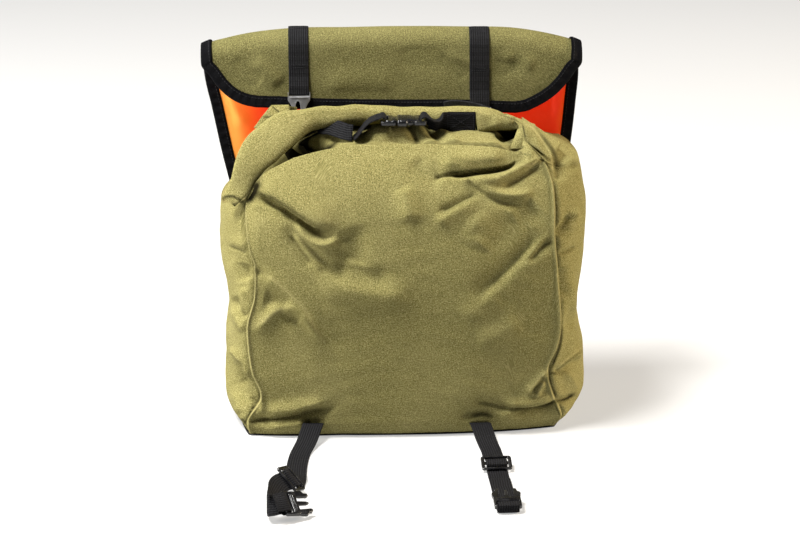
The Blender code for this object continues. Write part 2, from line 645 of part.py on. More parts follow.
def lid_straps(finishes, group):
    """Each strap lies on the flap, steps over the binding and ends between the ears of its buckle."""
    on_cloth = GAP / 2 + CLOTH + GAP + WEBBING_THICKNESS / 2
    on_tape = on_cloth + TAPE_EASE + TAPE
    fold = LID_RISE + LID_BEND * 0.5
    for name, side, start, end in (("left", -1, -0.003, 0.062), ("right", 1, 0.005, 0.078)):
        rows = lid_rows()
        t = np.array([fold + start, *rows[(rows > fold + start) & (rows < fold + end)], fold + end])
        lift = np.interp(t, (t[-1] - 0.018, t[-1] - 0.010), (on_cloth, on_tape))
        x = np.full(len(t), LID_CENTRE_X + side * LID_STRAP_SPACING)
        rows = lid_point(x, t) + lid_normal(x, t) * lift[:, None]
        across = np.tile((1.0, 0.0, 0.0), (len(t), 1))
        ribbon("lid_strap_" + name, np.hstack([rows, across]), finishes["webbing"], group, per_span=1)

        down = unit(rows[-1] - rows[-2])
        down[0] = 0.0
        out = np.cross((1.0, 0.0, 0.0), -down)
        middle = rows[-1] + down * (0.0145 + GAP) + out * (GAP + 0.0016)
        axes = Matrix(((1, 0, 0), -down, out)).transposed()
        place = Matrix.Translation(middle) @ axes.to_4x4()
        socket_buckle("lid_buckle_" + name, finishes["grey_plastic"], group, place)


def placed(centre, across, along):
    """Matrix of a buckle or slider from its centre, its width's direction and its length's."""
    across, along = Vector(across).normalized(), Vector(along)
    along = (along - across * along.dot(across)).normalized()
    axes = Matrix((across, along, across.cross(along))).transposed()
    return Matrix.Translation(centre) @ axes.to_4x4()


def carried(rows, place):
    """Rows of a strap from points given in the axes of what it runs through."""
    across = place.to_3x3().col[0]
    return [(*(place @ Vector((0, y, z))), *across) for y, z in rows]


def base_straps(finishes, group):
    """Two straps from the foot of the front, each through a slider and round the bar of a buckle."""
    webbing, plastic = finishes["webbing"], finishes["black_plastic"]

    slide = placed((-0.1077, -0.2140, 0.0147), (0.60, -0.55, -0.58), (0.514, 0.823, -0.247))
    clasp = placed((-0.1019, -0.2630, 0.0124), (0.30, -0.80, -0.52), (0.86, 0.46, -0.215))
    rows = (list(STRAP_LEFT_TO_SLIDER) + carried(SLIDER_PATH, slide) + list(STRAP_LEFT_TO_BUCKLE)
            + carried(LOOP_STRAIGHT, clasp))
    ribbon("base_strap_left", rows, webbing, group)
    slider("strap_slider_left", plastic, group, slide)
    prong_buckle("strap_buckle_left", plastic, group, clasp)

    slide = placed((0.0852, -0.1670, 0.0064), (1.0, 0.04, 0.0), (-0.04, cos(radians(18)), sin(radians(18))))
    clasp = placed((0.0882, -0.2500, 0.0086), (1.0, 0.04, 0.0), (-0.04, cos(radians(10)), sin(radians(10))))
    rows = (list(STRAP_RIGHT_TO_SLIDER) + carried(SLIDER_PATH, slide) + list(STRAP_RIGHT_TO_BUCKLE)
            + carried(LOOP_FOLDED, clasp) + list(STRAP_RIGHT_BACK))
    ribbon("base_strap_right", rows, webbing, group)
    slider("strap_slider_right", plastic, group, slide)
    prong_buckle("strap_buckle_right", plastic, group, clasp)


def collar_clasp(finishes, group):
    """Fastened buckle before the middle of the roll, lying flat, with a webbing tab at each end."""
    y, z = -0.028, 0.3035
    end_bar, slot, half = 0.0026, 0.0050, 0.0125
    for name, left, right, bar_side in (("collar_buckle_socket", -0.0040, 0.0240, 1),
                                        ("collar_buckle_prongs", -0.0195, -0.0043, -1)):
        width, middle = right - left, (left + right) / 2
        slot_x = bar_side * (width / 2 - end_bar - slot / 2)
        outlines = [rectangle(width, 2 * half, corner=0.002), rectangle(slot, 0.0210, (slot_x, 0))]
        place = Matrix.Translation((middle, y, z))
        plate(name, outlines, MIDDLE_BUCKLE_THICKNESS, finishes["black_plastic"], group, place)
    ribbon("collar_tab_right", TAB_RIGHT, finishes["webbing"], group)
    ribbon("collar_tab_left", TAB_LEFT, finishes["webbing"], group)


def main():
    clear_scene()
    group = collection("bicycle_front_bag")
    finishes = {
        "canvas": material("olive_canvas", (0.20, 0.19, 0.075), 0.85),
        "lining": material("orange_lining", (0.90, 0.17, 0.02), 0.6),
        "webbing": material("black_webbing", (0.012, 0.012, 0.014), 0.8),
        "base": material("black_base", (0.015, 0.015, 0.016), 0.7),
        "grey_plastic": material("grey_plastic", (0.09, 0.09, 0.095), 0.45),
        "black_plastic": material("black_plastic", (0.015, 0.015, 0.017), 0.35),
    }
    body(finishes, group)
    roll(finishes, group)
    lid_sheets(finishes, group)
    lid_binding(finishes, group)
    lid_straps(finishes, group)
    base_straps(finishes, group)
    collar_clasp(finishes, group)


main()
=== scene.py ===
# %% [markdown]
# # A bicycle front bag, dressed
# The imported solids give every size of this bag. They are coarse, as solids for a physics engine
# should be, so this lesson lays fine cloth, tape, webbing and moulded buckles over them, one piece
# at a time. Every length is in metres. The bag's front looks along -Y and its base is on z = 0.
# %% Load the solids
from math import cos, pi, radians, sin

import bmesh
import bpy
import numpy as np
from mathutils import Matrix, Vector


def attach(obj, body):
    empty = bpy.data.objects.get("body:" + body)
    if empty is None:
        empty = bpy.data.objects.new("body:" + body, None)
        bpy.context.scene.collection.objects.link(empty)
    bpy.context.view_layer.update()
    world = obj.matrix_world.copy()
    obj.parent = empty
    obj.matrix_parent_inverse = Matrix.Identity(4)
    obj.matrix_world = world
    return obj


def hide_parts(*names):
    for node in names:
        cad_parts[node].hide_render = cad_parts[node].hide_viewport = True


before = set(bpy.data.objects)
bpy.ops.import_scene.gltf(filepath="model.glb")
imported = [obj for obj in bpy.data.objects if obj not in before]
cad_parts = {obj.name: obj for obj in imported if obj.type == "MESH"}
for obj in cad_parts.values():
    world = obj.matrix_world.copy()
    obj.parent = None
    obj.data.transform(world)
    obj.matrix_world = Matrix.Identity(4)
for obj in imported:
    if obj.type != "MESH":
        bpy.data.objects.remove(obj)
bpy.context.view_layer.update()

# %% [markdown]
# ## The camera, and reading places off the photograph
# The bag was photographed from a little above and with a long lens. Where a fold or a seam shows in
# the picture, its place on the bag is found by looking through the same camera: a pixel gives a
# line of sight, and the line meets the cloth at one point. So the camera comes first.
# %% Camera
LOOK_AT = np.array((0.0, 0.0, 0.146))
ELEVATION, AZIMUTH = radians(19.0), radians(-2.0)
DISTANCE = 2.2
FOCAL_PIXELS = 2217.0
PHOTO_WIDTH, PHOTO_HEIGHT = 800, 533
SENSOR = 36.0


def unit(v):
    """Vectors divided by their lengths."""
    v = np.asarray(v, float)
    return v / np.maximum(np.linalg.norm(v, axis=-1, keepdims=True), 1e-12)


TO_EYE = np.array((sin(AZIMUTH) * cos(ELEVATION), -cos(AZIMUTH) * cos(ELEVATION), sin(ELEVATION)))
EYE = LOOK_AT + TO_EYE * DISTANCE
EYE_RIGHT = unit(np.cross(-TO_EYE, (0, 0, 1)))
EYE_UP = np.cross(EYE_RIGHT, -TO_EYE)


def seen_at(px, py, y):
    """Point at depth y on the line of sight of a pixel: eye + t * direction, with t from y."""
    px, py = np.asarray(px, float), np.asarray(py, float)
    sight = (-TO_EYE + EYE_RIGHT * ((px - PHOTO_WIDTH / 2) / FOCAL_PIXELS)[..., None]
             + EYE_UP * ((PHOTO_HEIGHT / 2 - py) / FOCAL_PIXELS)[..., None])
    return EYE + sight * ((y - EYE[1]) / sight[..., 1])[..., None]


def pixel_of(points):
    """Pixel where the camera sees each point: its sideways and upward share of its distance."""
    v = points - EYE
    away = v @ -TO_EYE
    return (PHOTO_WIDTH / 2 + FOCAL_PIXELS * (v @ EYE_RIGHT) / away,
            PHOTO_HEIGHT / 2 - FOCAL_PIXELS * (v @ EYE_UP) / away)


camera_data = bpy.data.cameras.new("camera")
camera_data.sensor_width = SENSOR
camera_data.lens = FOCAL_PIXELS * SENSOR / PHOTO_WIDTH
camera = bpy.data.objects.new("camera", camera_data)
turned = Matrix(np.stack([EYE_RIGHT, EYE_UP, TO_EYE], 1).tolist())
camera.matrix_world = Matrix.Translation(EYE) @ turned.to_4x4()
bpy.context.scene.collection.objects.link(camera)
bpy.context.scene.camera = camera
print("lens", round(camera_data.lens, 1), "mm, eye at", EYE.round(3))

# %% [markdown]
# ## Studio
# The bag stands in a bright studio: one soft light high up on the left, one at each side, the right
# one warmer, and a little white all round. A pale floor, which glows a little so that it turns
# white, catches the soft shadow under the bag.
# %% Lights and floor
FLOOR_SIZE = 12.0
SOFTBOXES = (
    ("overhead_light", (-0.95, -0.33, 2.45), 0.8, 184.0, (1.0, 0.985, 0.95)),
    ("left_light", (-2.2, -0.25, 0.85), 0.7, 72.0, (1.0, 0.98, 0.93)),
    ("right_light", (2.3, 0.1, 0.85), 0.8, 88.0, (1.0, 0.84, 0.62)),
)
WORLD_STRENGTH = 0.06
FLOOR_GLOW = 0.42
LIT_POINT = Vector((0, 0, 0.18))

world = bpy.data.worlds.new("studio")
bpy.context.scene.world = world
world.use_nodes = True
world.node_tree.nodes["Background"].inputs["Color"].default_value = (1, 1, 1, 1)
world.node_tree.nodes["Background"].inputs["Strength"].default_value = WORLD_STRENGTH

for name, place, size, power, colour in SOFTBOXES:
    lamp = bpy.data.lights.new(name, "AREA")
    lamp.shape, lamp.size, lamp.energy, lamp.color = "SQUARE", size, power, colour
    light = bpy.data.objects.new(name, lamp)
    light.matrix_world = Matrix.Translation(place) @ (
        Vector(place) - LIT_POINT).to_track_quat("Z", "Y").to_matrix().to_4x4()
    bpy.context.scene.collection.objects.link(light)

bpy.context.scene.view_settings.view_transform = "Standard"

floor_mesh = bpy.data.meshes.new("floor")
h = FLOOR_SIZE / 2
floor_mesh.from_pydata([(-h, -h, 0), (h, -h, 0), (h, h, 0), (-h, h, 0)], [], [(0, 1, 2, 3)])
floor = bpy.data.objects.new("floor", floor_mesh)
bpy.context.scene.collection.objects.link(floor)
print("floor", FLOOR_SIZE, "m wide,", len(SOFTBOXES), "soft lights")

# %% [markdown]
# ## Shader maths in Python
# A weave is a formula: sines of the place on the cloth. Drawing it with nodes takes dozens of Math
# nodes, so a small class wraps a socket and lets plain Python expressions add them.
# %% Wires and finishes


class Wire:
    """An output socket of a finish; arithmetic on it adds Math nodes."""

    def __init__(self, finish, socket):
        self.finish, self.socket = finish, socket

    def math(self, operation, *others):
        return self.finish.node("Math", {"operation": operation}, dict(enumerate((self, *others))))[0]

    def __add__(self, other):
        return self.math("ADD", other)

    def __sub__(self, other):
        return self.math("SUBTRACT", other)

    def __mul__(self, other):
        return self.math("MULTIPLY", other)

    def __rsub__(self, other):
        return self.finish.node("Math", {"operation": "SUBTRACT"}, {0: other, 1: self})[0]

    __radd__, __rmul__ = __add__, __mul__

    def sine(self):
        return self.math("SINE")

    def size(self):
        return self.math("ABSOLUTE")

    def between(self, low, high):
        """A smooth step from 0 at low to 1 at high, held beyond them."""
        return self.finish.node("MapRange", {"interpolation_type": "SMOOTHSTEP"},
                                {0: self, 1: low, 2: high})[0]

    def mix(self, first, second):
        """A colour from first, where the wire is 0, to second, where it is 1."""
        return self.finish.node("Mix", {"data_type": "RGBA"}, {0: self, 6: first, 7: second})[2]


class Finish:
    """A material with one Principled shader. Constants go straight on its sockets."""

    def __init__(self, name, **constants):
        self.material = bpy.data.materials.new(name)
        self.material.use_nodes = True
        self.tree = self.material.node_tree
        self.shader = self.tree.nodes["Principled BSDF"]
        for socket, value in constants.items():
            self.shader.inputs[socket.replace("_", " ")].default_value = value

    def node(self, kind, settings=None, sockets=None):
        """Adds any node: its settings first, then values or wires on its sockets."""
        made = self.tree.nodes.new("ShaderNode" + kind)
        for key, value in (settings or {}).items():
            setattr(made, key, value)
        for key, value in (sockets or {}).items():
            if isinstance(value, Wire):
                self.tree.links.new(value.socket, made.inputs[key])
            else:
                made.inputs[key].default_value = value
        return [Wire(self, socket) for socket in made.outputs]

    def feed(self, socket, wire):
        self.tree.links.new(wire.socket, self.shader.inputs[socket])

    def cloth_place(self):
        """Place on the cloth in millimetres, across and along, from the piece's own UV map."""
        uv = self.node("UVMap")[0]
        across, along, _ = self.node("SeparateXYZ", sockets={0: uv})
        return across * 1000.0, along * 1000.0, uv

    def noise(self, vector, scale, detail=2.0, rough=0.5):
        return self.node("TexNoise", sockets={"Vector": vector, "Scale": scale, "Detail": detail,
                                              "Roughness": rough})[0]

    def bump(self, height, distance, strength=1.0):
        self.feed("Normal", self.node("Bump", sockets={"Height": height, "Distance": distance,
                                                       "Strength": strength})[0])


def plain_floor():
    finish = Finish("studio_floor", Roughness=0.8, Emission_Color=(1, 1, 1, 1),
                    Emission_Strength=FLOOR_GLOW)
    place = finish.node("TexCoord")[3]
    clouds = finish.noise(place, 0.7)
    finish.feed("Base Color", clouds.mix((0.29, 0.29, 0.29, 1), (0.31, 0.31, 0.31, 1)))
    return finish.material


floor_mesh.materials.append(plain_floor())

# %% [markdown]
# ## The finishes
# The canvas is a plain weave of heathered olive threads with a dull coating: each thread is a
# small bump, threads vary in thickness, and pale flecks lie among darker ones. The lining is a thin
# coated nylon in bright orange. It glows a little, a painted light that keeps its colour saturated in
# the shade, and its colour also carries painted light, a paler yellow-orange low on the left, and
# painted shade, a deep red over the middle and the right.
# Webbing has thick ribs along its length and a fine zigzag between them, and the binding tape is a
# small grosgrain with ribs across it. Buckles are moulded plastic with a faint orange-peel surface.
#
# The canvas also reads an attribute called shade, stored on each of its pieces: up to 1 deep in a
# crease, which darkens the cloth as painted shade, and below 0 along a lit ridge or edge, which makes
# it paler as a painted highlight. This painted shade and highlight help the modelled folds, and they
# stay the same under any light.
# %% Cloth finishes
TURN = 2 * pi
THREAD_MM = 0.95
NYLON_THREAD_MM, GROSGRAIN_MM = 0.8, 0.9
# painted highlight colour for lit ridges, painted shade colour for creases, and how much of each the shade
# attribute mixes in
PAINTED_HIGHLIGHT, PAINTED_SHADE = (0.50, 0.44, 0.21, 1), (0.004, 0.0035, 0.0015, 1)
PAINTED_HIGHLIGHT_SHARE, PAINTED_SHADE_SHARE = 0.8, 0.97
LONG_SLUBS, CROSS_SLUBS = (1300.0, 130.0, 1.0), (130.0, 1300.0, 1.0)
NYLON_ORANGE = ((1.0, 0.150, 0.006, 1), (1.0, 0.200, 0.012, 1))
# painted light and painted shade colours of the lining, and the strength of its painted glow
NYLON_PAINTED_LIGHT, NYLON_PAINTED_SHADE = (1.0, 0.42, 0.075, 1), (0.80, 0.016, 0.001, 1)
NYLON_PAINTED_GLOW = 0.42


def canvas_finish(name, dark, middle, pale):
    finish = Finish(name, Roughness=0.82, Specular_IOR_Level=0.02)
    across, along, uv = finish.cloth_place()
    place = finish.node("TexCoord")[3]
    wobble = finish.noise(uv, 60.0, 2.0) * 1.4
    weave = (across * (TURN / THREAD_MM) + wobble).sine() * (along * (TURN / THREAD_MM) + wobble).sine()
    slub_along, slub_across = (finish.noise(finish.node("Mapping", sockets={0: uv, "Scale": scale})[0], 1.0)
                               for scale in (LONG_SLUBS, CROSS_SLUBS))
    fleck = finish.noise(uv, 820.0, 2.0, 0.7)
    mottle = finish.noise(uv, 260.0, 3.0, 0.6)
    wear = finish.noise(place, 9.0, 4.0, 0.6)
    tone = fleck * 1.25 + slub_along * 0.30 + slub_across * 0.30 + mottle * 0.12 + weave * 0.05 - 0.06
    colour = tone.between(0.72, 0.96).mix(dark, middle)
    colour = tone.between(0.93, 1.18).mix(colour, pale)
    worn = wear.between(0.42, 0.72) * 0.22
    colour = worn.mix(colour, pale)
    # painted shade in creases (shade above 0) and painted highlight on lit ridges (shade below 0), read from
    # the shade attribute
    shade = finish.node("Attribute", {"attribute_name": "shade"})[2]
    colour = (shade * -PAINTED_HIGHLIGHT_SHARE).mix(colour, PAINTED_HIGHLIGHT)
    colour = (shade * PAINTED_SHADE_SHARE).mix(colour, PAINTED_SHADE)
    finish.feed("Base Color", colour)
    finish.feed("Roughness", 0.74 + fleck * 0.16)
    height = weave * 0.35 + slub_along * 0.8 + slub_across * 0.8 + fleck * 0.9 + mottle * 0.5
    finish.bump(height, 0.00042, 0.9)
    return finish.material


def lining_finish(name):
    finish = Finish(name, Roughness=0.5, Specular_IOR_Level=0.35, Emission_Strength=NYLON_PAINTED_GLOW)
    across, along, uv = finish.cloth_place()
    place = finish.node("TexCoord")[3]
    thread = (across * (TURN / NYLON_THREAD_MM)).sine() * (along * (TURN / NYLON_THREAD_MM)).sine()
    cloud = finish.noise(place, 14.0, 3.0)
    x, _, z = finish.node("SeparateXYZ", sockets={0: place})
    drift = (cloud - 0.5) * 0.03
    # painted shade: over the middle and the right the lining is mixed towards deep red
    deep = (x + drift).between(-0.165, -0.125) * (1 - (x + drift).between(0.160, 0.180) * 0.8)
    # painted light: low on the left the lining is mixed towards a paler yellow-orange
    low = (z + drift).between(0.375, 0.30) * (x + drift).between(-0.140, -0.170)
    colour = cloud.between(0.35, 0.7).mix(*NYLON_ORANGE)
    colour = (low * 0.85).mix(colour, NYLON_PAINTED_LIGHT)
    colour = (deep * 0.92).mix(colour, NYLON_PAINTED_SHADE)
    finish.feed("Base Color", colour)
    # painted glow: the lining emits its own colour, its painted light and shade included
    finish.feed("Emission Color", colour)
    finish.feed("Roughness", 0.42 + cloud * 0.2)
    finish.bump(thread * 0.3 + finish.noise(uv, 90.0, 3.0) * 2.2, 0.0005, 0.6)
    return finish.material


def webbing_finish(name, ribs_mm, fine_mm, dark, pale, depth):
    """Ribs run along the webbing; between them a zigzag of fine threads crosses it."""
    finish = Finish(name, Roughness=0.7, Specular_IOR_Level=0.08)
    across, along, uv = finish.cloth_place()
    rib = (across * (pi / ribs_mm)).sine().size()
    zigzag = (along * (TURN / fine_mm) + rib * 2.6).sine()
    dust = finish.noise(uv, 420.0, 3.0, 0.7)
    light = (rib.between(0.15, 0.95) * 0.55 + zigzag.between(-0.6, 1.0) * 0.28
             + dust.between(0.5, 0.8) * 0.35)
    finish.feed("Base Color", light.mix(dark, pale))
    finish.feed("Roughness", 0.78 - rib * 0.22)
    finish.bump(rib * 1.0 + zigzag * 0.25 + dust * 0.3, depth, 0.9)
    return finish.material


def tape_finish(name, dark, pale):
    """Grosgrain: thick threads across the tape, a smooth selvedge on each side."""
    finish = Finish(name, Roughness=0.75, Specular_IOR_Level=0.04)
    _, along, uv = finish.cloth_place()
    rib = (along * (pi / GROSGRAIN_MM)).sine().size()
    dust = finish.noise(uv, 500.0, 3.0, 0.7)
    finish.feed("Base Color", (rib * 0.35 + dust.between(0.42, 0.8) * 0.65).mix(dark, pale))
    finish.feed("Roughness", 0.8 - rib * 0.2)
    finish.bump(rib * 0.8 + dust * 0.6, 0.0004, 0.9)
    return finish.material


CANVAS = canvas_finish("olive_canvas_cloth", dark=(0.092, 0.082, 0.025, 1), middle=(0.195, 0.175, 0.064, 1),
                       pale=(0.345, 0.308, 0.135, 1))
LID_CANVAS = canvas_finish("olive_canvas_lid", dark=(0.056, 0.051, 0.017, 1), middle=(0.120, 0.110, 0.041, 1),
                           pale=(0.225, 0.205, 0.088, 1))
LINING = lining_finish("orange_nylon")
WEBBING = webbing_finish("black_ribbed_webbing", 2.2, 1.6, (0.0012, 0.0012, 0.0014, 1),
                         (0.012, 0.012, 0.014, 1), 0.0005)
TAPE = tape_finish("black_grosgrain", (0.0006, 0.0006, 0.0009, 1), (0.0055, 0.0055, 0.0075, 1))
BASE_CLOTH = webbing_finish("black_base_cloth", 0.9, 0.9, (0.004, 0.004, 0.004, 1),
                            (0.02, 0.02, 0.02, 1), 0.0003)
THREAD = tape_finish("black_thread", (0.010, 0.010, 0.011, 1), (0.05, 0.05, 0.055, 1))
print("cloth finishes:", [m.name for m in (CANVAS, LID_CANVAS, LINING, WEBBING, TAPE, BASE_CLOTH, THREAD)])

# %% Plastic finishes


def plastic_finish(name, colour, edge, rough):
    """Moulded plastic: a faint orange peel, fine scratches and a paler rubbed tone here and there."""
    finish = Finish(name, Roughness=rough, Specular_IOR_Level=0.55)
    place = finish.node("TexCoord")[3]
    peel = finish.noise(place, 900.0, 2.0)
    rubbed = finish.noise(place, 140.0, 4.0, 0.65)
    stretched = finish.node("Mapping", sockets={0: place, "Scale": (300.0, 2600.0, 900.0)})[0]
    scratch = finish.noise(stretched, 1.0, 2.0)
    finish.feed("Base Color", rubbed.between(0.45, 0.75).mix(colour, edge))
    finish.feed("Roughness", rough - 0.06 + rubbed * 0.16 + scratch.between(0.6, 0.8) * 0.12)
    finish.bump(peel * 0.5 + scratch * 0.35, 0.00012, 0.7)
    return finish.material


BLACK_PLASTIC = plastic_finish("black_moulded_plastic", (0.004, 0.004, 0.005, 1),
                               (0.016, 0.016, 0.018, 1), 0.22)
GREY_PLASTIC = plastic_finish("grey_moulded_plastic", (0.10, 0.10, 0.105, 1), (0.19, 0.19, 0.195, 1), 0.40)
print("plastic finishes:", BLACK_PLASTIC.name, GREY_PLASTIC.name)

# %% [markdown]
# ## Making a surface
# Every cloth piece is a grid: rows and columns of points worked out by a formula. One function puts
# a grid into a mesh, with a UV map in metres, so that the weave follows the cloth and has its real
# scale. A Solidify modifier then gives the cloth its thickness, inwards from the face that shows.
# %% Grids, tables and curves
CLOTH = 0.0012


def lengths(points, axis):
    """Distance walked along an axis of a grid: the running sum of the steps between its points."""
    steps = np.linalg.norm(np.diff(points, axis=axis), axis=-1)
    first = np.zeros_like(np.take(steps, [0], axis))
    return np.cumsum(np.concatenate([first, steps], axis), axis)


def link(name, mesh, finish, replaces=(), slot=None, shade=None):
    """Puts a finished mesh into the scene, riding on the bag's one body."""
    if shade is not None:
        layer = mesh.attributes.new("shade", "FLOAT", "POINT")
        layer.data.foreach_set("value", np.clip(shade, -1, 1).astype(np.float32).ravel())
    mesh.materials.clear()
    mesh.materials.append(finish)
    piece = bpy.data.objects.new(name, mesh)
    bpy.context.scene.collection.objects.link(piece)
    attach(piece, "root")
    if replaces:
        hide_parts(*replaces)
    return piece


def grid_mesh(name, points, ring=False, flip=False, cap=False):
    """Quads between neighbouring points of a grid; a ring's last column meets its first."""
    rows, columns = points.shape[:2]
    wide = np.concatenate([points, points[:, :1]], 1) if ring else points
    uv = np.stack([lengths(wide, 1), lengths(wide, 0)], -1)
    r = np.arange(rows - 1)[:, None]
    c = np.arange(columns if ring else columns - 1)[None, :]
    order = (1, 0, 3, 2) if flip else (0, 1, 2, 3)
    corner_r = [r + 0 * c, r + 0 * c, r + 1 + 0 * c, r + 1 + 0 * c]
    corner_c = [c + 0 * r, c + 1 + 0 * r, c + 1 + 0 * r, c + 0 * r]
    quads = np.stack([corner_r[k] * columns + corner_c[k] % columns for k in order], -1).reshape(-1, 4)
    loop_uv = np.stack([uv[corner_r[k], corner_c[k]] for k in order], -2).reshape(-1, 2)
    corners, starts = quads.ravel(), np.arange(0, quads.size, 4)
    if cap:
        first, last = np.arange(columns), np.arange(columns) + (rows - 1) * columns
        ends = (first, last[::-1]) if flip else (first[::-1], last)
        starts = np.append(starts, [quads.size, quads.size + columns])
        corners = np.concatenate([corners, *ends])
        loop_uv = np.concatenate([loop_uv, uv[0, ends[0] % columns], uv[-1, ends[1] % columns]])
    mesh = bpy.data.meshes.new(name)
    mesh.vertices.add(rows * columns)
    mesh.vertices.foreach_set("co", points.astype(np.float32).ravel())
    mesh.loops.add(len(corners))
    mesh.loops.foreach_set("vertex_index", corners.astype(np.int32))
    mesh.polygons.add(len(starts))
    mesh.polygons.foreach_set("loop_start", starts.astype(np.int32))
    mesh.uv_layers.new(name="UVMap").data.foreach_set("uv", loop_uv.astype(np.float32).ravel())
    mesh.update(calc_edges=True)
    mesh.validate()
    mesh.shade_smooth()
    return mesh


def thicken(piece, thick):
    """Gives a surface its thickness, away from the side that its faces look to."""
    solid = piece.modifiers.new("thickness", "SOLIDIFY")
    solid.thickness, solid.offset = thick, -1.0


def cloth_sheet(name, points, finish, thick=CLOTH, ring=False, flip=False, cut=None, held="stretched", on=(),
                **rest):
    """A grid as a sheet of cloth. cut is the flat size that the piece had before it was sewn, as width and
    length; it is not used."""
    piece = link(name, grid_mesh(name, points, ring, flip), finish, **rest)
    thicken(piece, thick)
    wide, tall = float(np.median(lengths(points, 1)[:, -1])), float(np.median(lengths(points, 0)[-1]))
    print(name, points.shape[:2], "about %.0f x %.0f mm" % (wide * 1000, tall * 1000))
    return piece


def read(table, column, at):
    """One column of a table between its rows: cubic, with slopes that never overshoot."""
    x = np.array([row[0] for row in table], float)
    v = np.array([row[column] for row in table], float)
    step = np.diff(x)
    slope = np.diff(v) / step
    mean = (slope[:-1] * step[1:] + slope[1:] * step[:-1]) / (step[1:] + step[:-1])
    mean = np.where(slope[:-1] * slope[1:] <= 0, 0.0, mean)
    tangent = np.concatenate([slope[:1], mean, slope[-1:]])
    i = np.clip(np.searchsorted(x, at, side="right") - 1, 0, len(x) - 2)
    t = np.clip((at - x[i]) / step[i], 0, 1)
    return (v[i] * (1 + 2 * t) * (1 - t) ** 2 + v[i + 1] * t * t * (3 - 2 * t)
            + step[i] * (tangent[i] * t * (1 - t) ** 2 - tangent[i + 1] * t * t * (1 - t)))


def curve_through(rows, count):
    """Catmull-Rom curve through rows of numbers, at count even places."""
    rows = np.asarray(rows, float)
    p = np.vstack([2 * rows[0] - rows[1], rows, 2 * rows[-1] - rows[-2]])
    at = np.linspace(0, len(rows) - 1, count)
    i = np.minimum(at.astype(int), len(rows) - 2)
    t = (at - i)[:, None]
    before, here, after, beyond = (p[i + k] for k in range(4))
    return 0.5 * (2 * here + (after - before) * t + (2 * before - 5 * here + 4 * after - beyond) * t ** 2
                  + (3 * here - before - 3 * after + beyond) * t ** 3)


NOISE_WAVES = 14


def soft_noise(points, scale, seed):
    """Smooth random heights, mostly from -1 to 1: a sum of sine waves in seeded directions."""
    rng = np.random.default_rng(seed)
    total = np.zeros(points.shape[:-1])
    for _ in range(NOISE_WAVES):
        direction = unit(rng.normal(size=points.shape[-1])) * scale * rng.uniform(0.6, 1.7)
        total += np.sin(points @ direction * TURN + rng.uniform(0, TURN))
    return total / NOISE_WAVES ** 0.5 / 1.4


print("helpers ready")

# %% [markdown]
# ## The body's smooth shape
# The body is a loft between a base outline and an upper seam. Its walls bulge where the bag is full
# and pull in at the four upright seams. These tables are close to the sizes of the solids, read
# with a smooth curve instead of straight lines. A point is named by its place round the bag (0 at
# the front left seam, 1 front right, 2 back right, 3 back left) and its share of the height.
# %% Body tables and formula
BASE_TOP = 0.0023
BACK_Y = 0.084
SEAM_TOP = (
    (0.00, 0.233), (0.04, 0.251), (0.12, 0.267), (0.25, 0.279), (0.40, 0.284), (0.70, 0.283),
    (0.90, 0.276), (1.00, 0.266), (1.50, 0.246), (2.00, 0.258), (2.60, 0.256), (3.00, 0.224),
    (3.50, 0.213), (3.85, 0.224), (4.00, 0.233),
)
SEAM_X = (
    (0.002, -0.151, 0.150), (0.014, -0.153, 0.157), (0.042, -0.139, 0.147), (0.065, -0.147, 0.142),
    (0.087, -0.150, 0.150), (0.110, -0.151, 0.154), (0.145, -0.143, 0.1515), (0.173, -0.1424, 0.1490),
    (0.187, -0.1468, 0.1475), (0.200, -0.1488, 0.1465), (0.233, -0.150, 0.1462), (0.250, -0.150, 0.1445),
    (0.266, -0.149, 0.1385),
)
SIDE_X = (
    (0.002, -0.163, 0.166), (0.012, -0.171, 0.177), (0.055, -0.174, 0.184), (0.085, -0.173, 0.180),
    (0.108, -0.170, 0.175), (0.130, -0.172, 0.177), (0.165, -0.177, 0.182), (0.200, -0.177, 0.184),
    (0.225, -0.174, 0.182), (0.246, -0.168, 0.178), (0.266, -0.160, 0.170),
)
FRONT_Y = (
    (0.00, -0.068, -0.083), (0.03, -0.073, -0.088), (0.08, -0.077, -0.090), (0.30, -0.080, -0.092),
    (0.50, -0.080, -0.092), (0.70, -0.077, -0.087), (0.84, -0.070, -0.077), (0.93, -0.060, -0.062),
    (1.00, -0.050, -0.044),
)
BACK_SEAM_X = (-0.158, 0.162)
CROWN_POWER = 2.6
# how far the lower left corner is pushed, where the push starts in x, and its width, depth and share
CORNER_PUSH, CORNER_X, CORNER_WIDE, CORNER_DEEP, CORNER_SHARE = 0.010, 0.06, 0.09, 0.07, 0.16


